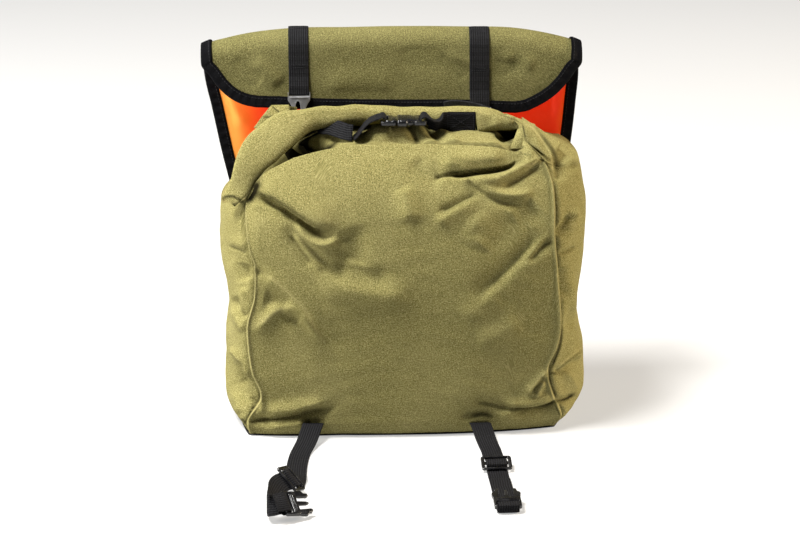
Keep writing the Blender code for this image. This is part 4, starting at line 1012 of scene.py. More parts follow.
# x, angle of the roll's face from level (radians), squareness of its section, share of its thickness
ROLL_TILT = (
    (-0.1655, 0.80, 2.4, 0.35), (-0.1500, 0.80, 2.6, 0.55), (-0.1120, 0.85, 2.8, 0.60),
    (-0.0800, 1.00, 2.6, 0.75), (-0.0400, 1.30, 2.3, 1.0), (0.0, 1.40, 2.2, 1.0), (0.1060, 1.30, 2.1, 1.0),
)


def roll_frame(x):
    """Middle, upward and frontward direction and both half sizes of the roll at x."""
    middle = np.stack([x] + [read(ROLL, k, x) for k in (1, 2)], -1)
    along = unit(np.gradient(middle, axis=0))
    deep = unit(np.cross(along, (0, 0, 1.0)))
    return middle, unit(np.cross(deep, along)), deep, read(ROLL, 3, x), read(ROLL, 4, x)


t = np.linspace(0, 1, 220)
x = ROLL[0][0] + (ROLL[-1][0] - ROLL[0][0]) * (0.7 * t + 0.3 * t ** 1.6)
middle, high, deep, tall, thick = roll_frame(x)
turn = np.linspace(ROLL_START, ROLL_END, 90)[:, None]
wound = np.clip((radians(-80) - turn) / radians(156), 0, 1)
shrink = 1 - (1 - ROLL_INNER) * wound
crease = 1 + 0.06 * soft_noise(np.stack([x * 1.0 + 0 * turn, turn * 0.012 + 0 * x], -1), 30.0, 31)
pinch = 1 - 0.30 * np.exp(-((1 - t) / 0.03) ** 2)
size = shrink * crease * pinch
tilt = read(ROLL_TILT, 1, x)
face_down = deep * np.cos(tilt)[:, None] - high * np.sin(tilt)[:, None]
face_out = deep * np.sin(tilt)[:, None] + high * np.cos(tilt)[:, None]
power = 2 / read(ROLL_TILT, 2, x)
c, s = np.cos(turn), np.sin(turn)
swell = np.sign(c) * np.abs(c) ** power * thick * read(ROLL_TILT, 3, x)
run = -np.sign(s) * np.abs(s) ** power * tall
roll_points = middle + face_down * (run * size)[..., None] + face_out * (swell * size)[..., None]
inside = np.clip((radians(-100) - turn) / 0.3, 0, 1) + np.clip((turn - radians(200)) / 0.3, 0, 1)
inside = inside + np.exp(-((x - x[0]) / 0.002) ** 2) * np.clip(-2 * np.sin(turn) - 0.6, 0, 1)
roll_shade = crease_shade(roll_points, -normals(roll_points), CREASES[:2] + ROLL_CREASES) + inside
roll_cloth = cloth_sheet("rolled_cloth", roll_points, CANVAS, replaces=("rolled_collar",),
                         slot="olive_canvas", flip=True, shade=roll_shade)

# %% [markdown]
# ## The lid
# The lid is one double sheet: canvas outside and orange nylon inside, both bound in black tape. It
# is sewn to the back panel, stands up behind the roll and folds over to the front. Seen from the
# side it is a straight line, an arc and another straight line; t is the distance along them.
# %% Lid formula
GAP, LID_CLOTH, LINING_THICK = 0.0003, 0.0015, 0.0012
TAPE_WIDTH, TAPE_THICK, TAPE_EASE = 0.0105, 0.001, 0.0012
LID_CENTRE_X, LID_LOW_Z, LID_TOP_Z, LID_RADIUS = -0.006, 0.190, 0.371, 0.018
LID_EDGE_Y, LID_EDGE_Z, LID_CORNER_DROP = 0.042, 0.2955, 0.017
LID_HALF, PULL_REACH, EDGE_INSET = 0.1865, 0.18, 0.0004
FLAP_HALF_WIDTH = (
    (0.2955, 0.122), (0.2965, 0.129), (0.300, 0.139), (0.3045, 0.147), (0.313, 0.158), (0.3245, 0.168),
    (0.343, 0.179), (0.357, 0.1865), (0.371, 0.1865),
)
# the flap's front edge hangs a little unevenly: x, extra drop
FLAP_SAG = (
    (-0.186, 0.0), (-0.160, -0.0030), (-0.134, -0.0060), (-0.090, -0.0025), (-0.006, 0.0), (0.060, 0.0006),
    (0.110, 0.0015), (0.140, 0.0), (0.165, -0.0008), (0.186, 0.0),
)
# the sewn back half of the lid is pulled: z, left side inwards, right side outwards
BACK_PULL = (
    (0.190, 0.0095, 0.0040), (0.215, 0.0085, 0.0040), (0.250, 0.0060, 0.0038), (0.285, 0.0030, 0.0034),
    (0.310, 0.0008, 0.0024), (0.345, 0.0, 0.0), (0.400, 0.0, 0.0),
)
LID_HALF_WIDTH = ((0.190, 0.168), (0.240, 0.176), (0.300, 0.182), (0.350, 0.1865), (0.371, 0.1865))
LID_BACK_Y = BACK_Y + GAP + TAPE_THICK + TAPE_EASE + LINING_THICK + GAP / 2
ARC = np.array([LID_BACK_Y - LID_RADIUS, LID_TOP_Z - LID_RADIUS])
LID_RISE = ARC[1] - LID_LOW_Z
REACH = np.array([LID_EDGE_Y, LID_EDGE_Z]) - ARC
TANGENT = np.arctan2(REACH[1], REACH[0]) % TURN - np.arccos(LID_RADIUS / np.hypot(*REACH))
FLAP_START = ARC + LID_RADIUS * np.array([cos(TANGENT), sin(TANGENT)])
FLAP_RUN = ARC + REACH - FLAP_START
LID_BEND, LID_FLAP = LID_RADIUS * TANGENT, np.hypot(*FLAP_RUN)
LID_LENGTH = LID_RISE + LID_BEND + LID_FLAP


def lid_point(x, t):
    """Rise, arc, flap; the ends of the fold hang lower by a power of the distance from the middle."""
    x, t = np.broadcast_arrays(np.asarray(x, float), np.asarray(t, float))
    angle = np.clip((t - LID_RISE) / LID_RADIUS, 0, TANGENT)
    down = np.clip((t - LID_RISE - LID_BEND) / LID_FLAP, 0, 1)
    y = ARC[0] + LID_RADIUS * np.cos(angle) + FLAP_RUN[0] * down
    z = ARC[1] + LID_RADIUS * np.sin(angle) + FLAP_RUN[1] * down - np.clip(LID_RISE - t, 0, None)
    side = np.clip(np.abs(x - LID_CENTRE_X) / LID_HALF, 0, 1.1)
    z = z - LID_CORNER_DROP * side ** 4.3 * np.clip((z - LID_LOW_Z) / (LID_TOP_Z - LID_LOW_Z), 0, 1)
    z = z - read(FLAP_SAG, 1, x) * down ** 3
    left = read(BACK_PULL, 1, z) * np.clip((LID_CENTRE_X - x) / PULL_REACH, 0, 1)
    right = read(BACK_PULL, 2, z) * np.clip((x - LID_CENTRE_X) / PULL_REACH, 0, 1)
    return np.stack([x + np.where(t < LID_RISE, left + right, 0.0), y, z], -1)


def lid_half_width(t):
    """Half of the lid's width at t: one table for the flap, one for the sewn back."""
    z = lid_point(LID_CENTRE_X + 0 * t, t)[..., 2]
    return np.where(t > LID_RISE + LID_BEND / 2, read(FLAP_HALF_WIDTH, 1, z), read(LID_HALF_WIDTH, 1, z))


def lid_normal(x, t):
    """Away from the lining: across the change along t and the change along x."""
    step = 0.0005
    over = lid_point(x, t + step) - lid_point(x, t - step)
    return -unit(np.cross(lid_point(x + step, t) - lid_point(x - step, t), over))


def lid_stations(back, fold, flap):
    """Distances t: even up the back, close round the fold, closer towards the front edge."""
    start = LID_RISE + LID_BEND
    return np.concatenate([np.linspace(0, LID_RISE, back)[:-1],
                           LID_RISE + LID_BEND * np.linspace(0, 1, fold)[:-1],
                           start + (LID_LENGTH - 1e-6 - start) * np.sin(np.linspace(0, pi / 2, flap))])


print("lid", round(LID_LENGTH * 1000), "mm from its seam to its front edge")

# %% Lid canvas and lining
LID_FOLDS = (
    (-1.3, 5.0, 7.0, 1.9, ((438, 58), (450, 64), (460, 71), (468, 77))),
    (1.3, 7.0, 7.0, 2.0, ((446, 52), (460, 58), (476, 63), (494, 66))),
    (-2.0, 9.0, 9.0, 2.0, ((492, 72), (510, 66), (526, 58))),
    (1.8, 8.0, 8.0, 2.0, ((500, 56), (520, 60), (538, 66))),
    (-1.6, 8.0, 8.0, 2.0, ((398, 56), (420, 58), (440, 56))),
    (-2.0, 8.0, 8.0, 2.0, ((230, 62), (246, 74), (262, 84))),
    (1.8, 8.0, 8.0, 2.0, ((252, 58), (268, 72), (282, 86))),
    (1.5, 12.0, 12.0, 2.0, ((320, 84), (360, 80), (400, 84))),
)
LINING_FOLDS = (
    (2.6, 7.0, 7.0, 2.0, ((222, 92), (236, 108), (246, 128))),
    (-2.4, 6.0, 6.0, 2.0, ((238, 96), (246, 108), (254, 118))),
    (2.4, 6.0, 6.0, 2.0, ((558, 84), (550, 98), (556, 118))),
    (-2.8, 6.0, 6.0, 2.0, ((548, 92), (540, 106), (546, 120))),
)


def lid_layer(name, rows, columns, offset, folds, finish, flip, thick, **rest):
    """One sheet of the lid, offset along the lid's normal from its middle surface."""
    t = lid_stations(*rows)[:, None]
    x = LID_CENTRE_X + np.linspace(-1, 1, columns)[None, :] * (lid_half_width(t) - EDGE_INSET)
    t = t + 0 * x
    outward = lid_normal(x, t)
    side = outward if offset > 0 else -outward
    points = lid_point(x, t) + outward * offset
    edge = np.minimum(LID_LENGTH - t, lid_half_width(t) - np.abs(x - LID_CENTRE_X))
    calm = np.clip((edge - TAPE_WIDTH) / 0.012, 0, 1) * np.clip(t / 0.02, 0, 1)
    px, py = pixel_of(points)
    facing = np.clip(side @ TO_EYE * 4, 0, 1)
    lift = fold_height(px, py, folds) * facing + 0.0006 * soft_noise(points, 16.0, 40)
    lift = np.clip(lift, 0.0, 0.004) if offset < 0 else np.clip(lift, -0.0012, 0.004)
    points = points + side * (lift * calm)[..., None]
    return cloth_sheet(name, points, finish, thick=thick, flip=flip, **rest)


lid_cloth = lid_layer("lid_cloth", (44, 34, 62), 170, GAP / 2 + LID_CLOTH, LID_FOLDS, LID_CANVAS, True,
                      LID_CLOTH, replaces=("lid_outer",), slot="olive_canvas")
lid_layer("lid_nylon", (36, 26, 40), 100, -GAP / 2 - LINING_THICK, LINING_FOLDS, LINING, False, LINING_THICK,
          replaces=("lid_lining",), slot="orange_lining", cut=(0.360, 0.292), held="folded",
          on=["back_cloth"])

# %% [markdown]
# ## Binding tape
# The tape is folded over the lid's raw edge and sewn through. Its section is a narrow U carried up
# one side, along the flap and down the other. A tape never lies quite flat: it swells a little
# between the stitches, which a small wave along its length gives.
# %% Tape round the lid
TAPE_PUCKER = 0.00035
TAPE_CLOTH = 0.0007
TAPE_TURN = 0.16  # share of the section's half that goes round the raw edge


def lid_edge(dense):
    """The free edge as x and t, evenly spaced: up the left side, along the flap, down the right."""
    t = lid_stations(60, 60, 260)[:-1]
    half = lid_half_width(t)
    last = float(lid_half_width(np.array([LID_LENGTH - 1e-6]))[0])
    across = np.linspace(-last, last, 200)
    x = LID_CENTRE_X + np.concatenate([-half, across, half[::-1]])
    t = np.concatenate([t, np.full(len(across), LID_LENGTH - 1e-6), t[::-1]])
    walked = lengths(lid_point(x, t)[None], 1)[0]
    even = np.linspace(0, walked[-1], dense)
    return np.interp(even, walked, x), np.interp(even, walked, t), even


def softened(values, times):
    """Averages each value with its neighbours, and leaves both ends."""
    for _ in range(times):
        inner = 0.25 * values[:-2] + 0.5 * values[1:-1] + 0.25 * values[2:]
        values = np.concatenate([values[:1], inner, values[-1:]])
    return values


x, t, walked = lid_edge(560)
edge, out = lid_point(x, t), lid_normal(x, t)
along = unit(np.gradient(softened(edge, 12), axis=0))
inward = unit(np.cross(out, along))
top, bottom = GAP / 2 + LID_CLOTH + TAPE_EASE, -(GAP / 2 + LINING_THICK + TAPE_EASE)
u = np.linspace(-1, 1, 29)
flat = np.clip((np.abs(u) - TAPE_TURN) / (1 - TAPE_TURN), 0, 1)
bend = np.clip(1 - np.abs(u) / TAPE_TURN, 0, 1)
depth = TAPE_WIDTH * flat - (GAP + TAPE_THICK) * np.sqrt(np.clip(1 - (1 - bend) ** 2, 0, 1))
reach = np.where(u > 0, top + TAPE_THICK, -(bottom - TAPE_THICK))
height = np.sign(u) * reach * np.sin(np.clip(np.abs(u) / TAPE_TURN, 0, 1) * pi / 2)
lip = np.clip((flat - 0.86) / 0.14, 0, 1) ** 2 * 0.0012
height = height - np.sign(u) * lip
pucker = TAPE_PUCKER * np.sin(walked * TURN / 0.0095 + 1.5 * np.sin(walked * 71))[:, None]
pucker = pucker * np.sin(np.clip(flat, 0, 1) * pi) * np.sign(u)
tape_points = (edge[:, None] + inward[:, None] * depth[None, :, None]
               + out[:, None] * (height[None] + pucker)[..., None])
tape = link("lid_tape", grid_mesh("lid_tape", tape_points, flip=True), TAPE, replaces=("lid_binding",),
            slot="black_webbing")
thicken(tape, TAPE_CLOTH)
print("tape", round(walked[-1] * 1000), "mm long")

# %% [markdown]
# ## Webbing straps
# All the straps are 20 mm webbing, 1.5 mm thick, with soft rounded edges. A strap is a rounded
# section carried along a curve, and each row of its table says where its middle is and which way
# its width points. Round a slider or a buckle bar, the rows are given in that fitting's own axes and
# carried to its place.
# %% Strap tables
WEBBING_WIDTH, WEBBING_THICK = 0.020, 0.0015

# Webbing through a slider, in the slider's own axes: y along it, z through it
SLIDER_PATH = (
    (0.0092, -0.0023), (0.0074, -0.0024), (0.0052, -0.0017), (0.0042, 0.0000), (0.0032, 0.0015),
    (0.0013, 0.0024), (-0.0013, 0.0024), (-0.0032, 0.0015), (-0.0042, 0.0000), (-0.0052, -0.0017),
    (-0.0074, -0.0024), (-0.0092, -0.0023),
)
# Webbing round the bar of a loose buckle, in the buckle's own axes: pulled straight, or folded back
LOOP_STRAIGHT = (
    (-0.0190, -0.0022), (-0.0152, -0.0034), (-0.0109, -0.0034), (-0.0092, -0.0014), (-0.0092, 0.0014),
    (-0.0109, 0.0034), (-0.0152, 0.0034), (-0.0190, 0.0022), (-0.0230, 0.0018),
)
LOOP_FOLDED = (
    (-0.0160, -0.0005), (-0.0155, 0.0026), (-0.0133, 0.0036), (-0.0106, 0.0033), (-0.0093, 0.0010),
    (-0.0092, -0.0018),
)
# Straps under the base, up to the slider, on to the buckle, and back from it:
# x, y, z of the middle, and the direction across (x, y, z)
STRAP_LEFT_TO_SLIDER = (
    (-0.0868, -0.0790, 0.0105, 1.0, 0.00, 0.00),
    (-0.0870, -0.0855, 0.0138, 1.0, 0.00, 0.00),
    (-0.0874, -0.0892, 0.0158, 1.0, 0.00, 0.00),
    (-0.0890, -0.0940, 0.0140, 1.0, -0.04, 0.00),
    (-0.0940, -0.1080, 0.0055, 1.0, -0.10, 0.00),
    (-0.1000, -0.1280, 0.0014, 1.0, -0.10, 0.00),
    (-0.1025, -0.1500, 0.0014, 1.0, -0.10, 0.00),
    (-0.1035, -0.1720, 0.0018, 1.0, -0.12, 0.00),
    (-0.1032, -0.1880, 0.0062, 0.9, -0.28, -0.20),
    (-0.1024, -0.2011, 0.0080, 0.6, -0.55, -0.58),
)
STRAP_LEFT_TO_BUCKLE = (
    (-0.1178, -0.2260, 0.0150, 0.60, -0.55, -0.58),
    (-0.1215, -0.2360, 0.0138, 0.35, -0.60, -0.72),
    (-0.1255, -0.2480, 0.0130, 0.10, -0.40, -0.90),
    (-0.1278, -0.2590, 0.0128, 0.00, -0.30, -0.95),
    (-0.1280, -0.2675, 0.0135, 0.00, -0.45, -0.90),
    (-0.1258, -0.2726, 0.0153, 0.15, -0.65, -0.75),
)
STRAP_RIGHT_TO_SLIDER = (
    (0.0744, -0.0795, 0.0095, 1.0, 0.00, 0.00),
    (0.0746, -0.0862, 0.0125, 1.0, 0.00, 0.00),
    (0.0750, -0.0900, 0.0142, 1.0, 0.00, 0.00),
    (0.0768, -0.0965, 0.0118, 1.0, 0.02, 0.00),
    (0.0802, -0.1085, 0.0040, 1.0, 0.03, 0.00),
    (0.0832, -0.1250, 0.0010, 1.0, 0.03, 0.00),
    (0.0840, -0.1400, 0.0014, 1.0, 0.04, 0.00),
    (0.0846, -0.1500, 0.0044, 1.0, 0.04, 0.00),
)
STRAP_RIGHT_TO_BUCKLE = (
    (0.0858, -0.1840, 0.0010, 1.0, 0.04, 0.00),
    (0.0866, -0.2050, 0.0010, 1.0, 0.04, 0.00),
    (0.0877, -0.2350, 0.0010, 1.0, 0.04, 0.00),
    (0.0886, -0.2585, 0.0010, 1.0, 0.04, 0.00),
    (0.0888, -0.2650, 0.0020, 1.0, 0.04, 0.00),
)
STRAP_RIGHT_BACK = (
    (0.0884, -0.2540, 0.0034, 1.0, 0.04, 0.00),
    (0.0881, -0.2460, 0.0029, 1.0, 0.04, 0.00),
    (0.0875, -0.2300, 0.0028, 1.0, 0.04, 0.00),
    (0.0862, -0.1950, 0.0028, 1.0, 0.04, 0.00),
)
# Tabs of the collar, from the middle buckle outwards
TAB_RIGHT = (
    (0.0188, -0.0280, 0.3010, 0.0, 1.0, 0.00),
    (0.0188, -0.0280, 0.3050, 0.0, 1.0, 0.00),
    (0.0198, -0.0280, 0.3079, 0.0, 1.0, 0.00),
    (0.0222, -0.0280, 0.3090, 0.0, 1.0, 0.00),
    (0.0250, -0.0280, 0.3082, 0.0, 1.0, 0.00),
    (0.0295, -0.0265, 0.3045, 0.0, 1.0, -0.25),
    (0.0340, -0.0225, 0.3010, 0.0, 0.6, -0.75),
    (0.0390, -0.0180, 0.2990, 0.0, 0.2, -1.00),
    (0.0460, -0.0164, 0.2985, 0.0, 0.0, -1.00),
    (0.0580, -0.0166, 0.2985, 0.0, 0.0, -1.00),
    (0.0720, -0.0174, 0.2985, 0.0, 0.0, -1.00),
)
TAB_LEFT = (
    (-0.0143, -0.0280, 0.3010, 0.0, 1.0, 0.00),
    (-0.0143, -0.0280, 0.3050, 0.0, 1.0, 0.00),
    (-0.0153, -0.0280, 0.3079, 0.0, 1.0, 0.00),
    (-0.0177, -0.0280, 0.3090, 0.0, 1.0, 0.00),
    (-0.0205, -0.0280, 0.3080, 0.0, 1.0, 0.00),
    (-0.0250, -0.0280, 0.3064, 0.0, 1.0, 0.00),
    (-0.0300, -0.0280, 0.3040, 0.0, 1.0, 0.00),
    (-0.0345, -0.0282, 0.2998, 0.0, 1.0, 0.00),
    (-0.0385, -0.0285, 0.2945, 0.0, 1.0, 0.00),
    (-0.0425, -0.0288, 0.2895, 0.0, 1.0, 0.00),
    (-0.0455, -0.0290, 0.2872, 0.0, 1.0, 0.00),
)
TAB_LEFT_FOLD = (
    (-0.0465, -0.0305, 0.2925, 0.00, 0.50, 0.86),
    (-0.0490, -0.0305, 0.2928, 0.05, 0.50, 0.86),
    (-0.0540, -0.0290, 0.2935, 0.10, 0.50, 0.85),
    (-0.0610, -0.0245, 0.2948, 0.20, 0.50, 0.83),
    (-0.0680, -0.0190, 0.2955, 0.30, 0.50, 0.80),
    (-0.0770, -0.0120, 0.2940, 0.40, 0.50, 0.75),
)

# %% Straps as swept sections


def rounded_section(half_width, half_thick, round_by, per_corner):
    """Corner points of a rectangle with rounded corners, anticlockwise."""
    angles = np.concatenate([np.linspace(k * pi / 2, (k + 1) * pi / 2, per_corner) for k in range(4)])
    signs = np.repeat([(1, 1), (-1, 1), (-1, -1), (1, -1)], per_corner, axis=0)
    middle = signs * (half_width - round_by, half_thick - round_by)
    return middle + round_by * np.stack([np.cos(angles), np.sin(angles)], -1)


def flat_section(half_width, half_thick, across_points=13):
    """A long thin section with points across both faces, thinner at its two edges."""
    w = np.linspace(-1, 1, across_points)
    edge = half_thick * (1 - 0.55 * np.abs(w) ** 8)
    lower = np.stack([w * half_width, -edge], -1)
    upper = np.stack([w[::-1] * half_width, edge[::-1]], -1)
    return np.concatenate([lower, upper])


def strap(name, rows, count, node, width=WEBBING_WIDTH):
    """Carries a flat section along a curve, with a faint ripple of both faces."""
    line = curve_through(rows, count)
    middle = line[:, :3]
    along = unit(np.gradient(middle, axis=0))
    across = line[:, 3:6] - along * np.sum(line[:, 3:6] * along, -1, keepdims=True)
    across = unit(across)
    up = np.cross(across, along)
    section = flat_section(width / 2 - 0.0001, WEBBING_THICK / 2)
    ripple = 0.00012 * np.sin(lengths(middle[None], 1)[0] * 900)[:, None] * np.sign(section[:, 1])
    points = (middle[:, None] + across[:, None] * section[None, :, :1]
              + up[:, None] * (section[:, 1] + ripple)[..., None])
    mesh = grid_mesh(name, points, ring=True, flip=True, cap=True)
    mesh.set_sharp_from_angle(angle=radians(50))
    print(name, round(lengths(middle[None], 1)[0, -1] * 1000), "mm long")
    link(name, mesh, WEBBING, replaces=(node,), slot="black_webbing")


def placed(centre, across, along):
    """Matrix of a fitting from its centre, its width's direction and its length's."""
    across, along = Vector(across).normalized(), Vector(along)
    along = (along - across * along.dot(across)).normalized()
    return Matrix.Translation(centre) @ Matrix((across, along, across.cross(along))).transposed().to_4x4()


def carried(rows, place):
    """Rows of a strap given in a fitting's axes, carried to its place."""
    across = place.to_3x3().col[0]
    return [(*(place @ Vector((0, y, z))), *across) for y, z in rows]


SLOPE_SLIDER, SLOPE_CLASP = radians(18), radians(10)
SLIDE_LEFT = placed((-0.1077, -0.2140, 0.0147), (0.60, -0.55, -0.58), (0.514, 0.823, -0.247))
CLASP_LEFT = placed((-0.1019, -0.2630, 0.0124), (0.30, -0.80, -0.52), (0.86, 0.46, -0.215))
SLIDE_RIGHT = placed((0.0852, -0.1670, 0.0064), (1.0, 0.04, 0.0),
                     (-0.04, cos(SLOPE_SLIDER), sin(SLOPE_SLIDER)))
CLASP_RIGHT = placed((0.0882, -0.2500, 0.0086), (1.0, 0.04, 0.0), (-0.04, cos(SLOPE_CLASP), sin(SLOPE_CLASP)))

rows = (list(STRAP_LEFT_TO_SLIDER) + carried(SLIDER_PATH, SLIDE_LEFT) + list(STRAP_LEFT_TO_BUCKLE)
        + carried(LOOP_STRAIGHT, CLASP_LEFT))
strap("foot_strap_left", rows, 240, "base_strap_left")
rows = (list(STRAP_RIGHT_TO_SLIDER) + carried(SLIDER_PATH, SLIDE_RIGHT) + list(STRAP_RIGHT_TO_BUCKLE)
        + carried(LOOP_FOLDED, CLASP_RIGHT) + list(STRAP_RIGHT_BACK))
strap("foot_strap_right", rows, 240, "base_strap_right")
strap("roll_tab_right", TAB_RIGHT, 90, "collar_tab_right")
strap("roll_tab_left", TAB_LEFT, 90, "collar_tab_left")
strap("roll_tab_left_fold", TAB_LEFT_FOLD, 50, "collar_tab_left", width=0.0165)

# %% [markdown]
# ## Straps on the lid
# Each lid strap is sewn on the flap with two rows of stitches, crosses the tape and carries half a
# buckle at its end. It follows the lid's own formula, lifted by half its thickness, and rises a
# little more where it climbs over the tape.
# %% Lid straps
FOLD_MIDDLE = LID_RISE + LID_BEND * 0.5
ON_CLOTH = GAP / 2 + LID_CLOTH + GAP + WEBBING_THICK / 2 + 0.0002
ON_TAPE = ON_CLOTH + TAPE_EASE + TAPE_THICK
# side, middle x, start and end along the lid from its fold, places of its two rows of stitches
LID_STRAPS = (
    ("left", -0.098, -0.003, 0.0738, (0.004, 0.043)),
    ("right", 0.080, 0.005, 0.088, (0.010, 0.047)),
)
LID_BUCKLES = {}


def on_lid(x, t, lift):
    return lid_point(x, t) + lid_normal(x, t) * np.asarray(lift)[..., None]


for side_name, strap_x, start, end, _ in LID_STRAPS:
    t = FOLD_MIDDLE + np.linspace(start, end, 60)
    lift = np.interp(t, (t[-1] - 0.019, t[-1] - 0.010), (ON_CLOTH, ON_TAPE))
    rows = on_lid(strap_x + 0 * t, t, softened(lift, 4))
    strap("lid_webbing_" + side_name, np.hstack([rows, np.tile((1.0, 0, 0), (60, 1))]), 160,
          "lid_strap_" + side_name)
    down = unit(rows[-1] - rows[-4]) * (0, 1, 1)
    out = np.cross((1.0, 0.0, 0.0), -down)
    middle = rows[-1] + down * (0.0145 + GAP) + out * (GAP + 0.0016)
    turned = Matrix(((1, 0, 0), -down, out)).transposed()
    LID_BUCKLES[side_name] = Matrix.Translation(middle) @ turned.to_4x4()

# %% [markdown]
# ## Stitches
# A stitch is a short thread lying in the cloth, thick in its middle and thin where it dives in. One
# function lays hundreds of them along lines as one mesh of small capsules.
# %% Rows of stitches


def stitches(name, starts, ends, outs, radius=0.00028, **rest):
    """Six-sided capsules from each start to its end; radius times 0.3, 1, 1, 0.3 along them."""
    starts, ends, outs = (np.asarray(v, float) for v in (starts, ends, outs))
    along = unit(ends - starts)
    side = unit(np.cross(outs, along))
    at, swell = np.array((0.0, 0.18, 0.82, 1.0)), np.array((0.3, 1.0, 1.0, 0.3)) * radius
    turn = np.linspace(0, TURN, 6, endpoint=False)
    middle = starts[:, None] + (ends - starts)[:, None] * at[:, None]
    arch = np.sin(at * pi)[None, :, None] * outs[:, None] * radius * 0.8
    ring = side[:, None] * np.cos(turn)[:, None] + outs[:, None] * np.sin(turn)[:, None]
    points = (middle + arch)[:, :, None] + ring[:, None] * swell[:, None, None]
    count = len(starts)
    base = np.arange(count)[:, None, None] * 24
    r, c = np.arange(3)[:, None] * 6, np.arange(6)[None, :]
    quads = np.stack([r + c, r + 6 + c, r + 6 + (c + 1) % 6, r + (c + 1) % 6], -1).reshape(-1, 4)
    faces = [tuple(f) for f in (quads[None] + base).reshape(-1, 4).tolist()]
    caps = np.stack([np.arange(6), 18 + np.arange(6)[::-1]])
    faces += [tuple(f) for f in (caps[None] + base).reshape(-1, 6).tolist()]
    mesh = bpy.data.meshes.new(name)
    mesh.from_pydata(points.reshape(-1, 3), [], faces)
    uv = mesh.uv_layers.new(name="UVMap")
    corner = np.zeros(len(mesh.loops), np.int32)
    mesh.loops.foreach_get("vertex_index", corner)
    flat = np.stack([points[..., 0] + points[..., 1], points[..., 2]], -1).reshape(-1, 2)
    uv.data.foreach_set("uv", flat[corner].astype(np.float32).ravel())
    mesh.shade_smooth()
    print(name, count, "stitches")
    return link(name, mesh, THREAD, slot="black_webbing", **rest)


STITCH_SHARE = 0.68


def row_of_stitches(line, outs, pitch):
    """Starts, ends and outward directions of stitches at an even pitch along a line of points."""
    walked = lengths(line[None], 1)[0]
    first = np.arange(pitch * 0.3, walked[-1] - pitch, pitch)
    pick = [np.stack([np.interp(at, walked, v[:, k]) for k in range(3)], -1)
            for v, at in ((line, first), (line, first + pitch * STITCH_SHARE), (outs, first))]
    return pick[0], pick[1], unit(pick[2])


def sew(name, rows_of_lines):
    """One mesh from several rows of stitches."""
    made = [row_of_stitches(*row) for row in rows_of_lines]
    return stitches(name, *(np.concatenate([m[k] for m in made]) for k in range(3)))


TAPE_STITCHES_IN = 0.0078
x, t, _ = lid_edge(700)
out = lid_normal(x, t)
along = unit(np.gradient(softened(lid_point(x, t), 12), axis=0))
sewn = lid_point(x, t) + unit(np.cross(out, along)) * TAPE_STITCHES_IN
line = sewn + out * (top + TAPE_THICK + 0.0001)
under = sewn + out * (bottom - TAPE_THICK - 0.0001)
sew("tape_stitches", [(line, out, 0.0032), (under, -out, 0.0032)])

lines = []
for _, strap_x, _, _, stitched in LID_STRAPS:
    for t0 in stitched:
        for step in (0.0, 0.0022):
            x = strap_x + np.linspace(-0.0085, 0.0085, 30)
            t = FOLD_MIDDLE + t0 + step + 0 * x
            sewn = on_lid(x, t, ON_CLOTH + WEBBING_THICK / 2 + 0.00005 + 0 * x)
            lines.append((sewn, lid_normal(x, t), 0.0021))
sew("lid_strap_stitches", lines)
x = np.linspace(-0.158, 0.146, 200)
t = 0.008 + 0 * x
sew("lid_seam_stitches", [(on_lid(x, t + k, GAP / 2 + LID_CLOTH + 0.0001 + 0 * x), lid_normal(x, t), 0.0032)
                          for k in (0.0, 0.005)])


def tab_face(x, z):
    """Points on the outer face of the right tab, which lies flat on the roll from x = 0.046 on."""
    depth = np.interp(x, (0.039, 0.046, 0.058, 0.072), (-0.0180, -0.0164, -0.0166, -0.0174))
    return np.stack([x, depth - WEBBING_THICK / 2 - 0.0002, z], -1)


TAB_BOX = ((0.0455, 0.2905), (0.0705, 0.2905), (0.0705, 0.3065), (0.0455, 0.3065))
lines = []
for a, b in ((0, 1), (1, 2), (2, 3), (3, 0), (0, 2), (1, 3)):
    t = np.linspace(0, 1, 40)
    x, z = (TAB_BOX[a][k] + (TAB_BOX[b][k] - TAB_BOX[a][k]) * t for k in (0, 1))
    lines.append((tab_face(x, z), np.tile((0.0, -1.0, 0.0), (40, 1)), 0.0021))
sew("tab_stitches", lines)

# %% [markdown]
# ## Moulded buckles and sliders
# The fittings are flat mouldings with holes for the webbing and softly rounded edges. A filled 2-D
# curve is the simplest way to a plate with holes: its own bevel rounds the edges, and it is turned
# into a mesh before it is put in its place. Several plates together make one buckle.
# %% Plates with rounded edges


def rectangle(width, height, centre, corner):
    """Outline of a rectangle with rounded corners, four points to a corner."""
    return [tuple(np.add(p, centre)) for p in rounded_section(width / 2, height / 2, corner, 4)]


def plate(outlines, low, high, rim):
    """Points and faces of a plate from z = low to high; the first outline is its edge."""
    curve = bpy.data.curves.new("plate", "CURVE")
    curve.dimensions, curve.fill_mode = "2D", "BOTH"
    curve.bevel_depth, curve.bevel_resolution, curve.offset = rim, 2, -rim
    curve.extrude = (high - low) / 2 - rim
    for outline in outlines:
        spline = curve.splines.new("POLY")
        spline.points.add(len(outline) - 1)
        spline.points.foreach_set("co", np.array([(a, b, 0, 1) for a, b in outline], np.float32).ravel())
        spline.use_cyclic_u = True
    source = bpy.data.objects.new("plate", curve)
    mesh = bpy.data.meshes.new_from_object(source)
    bpy.data.objects.remove(source, do_unlink=True)
    mesh.transform(Matrix.Translation((0, 0, (low + high) / 2)))
    return mesh


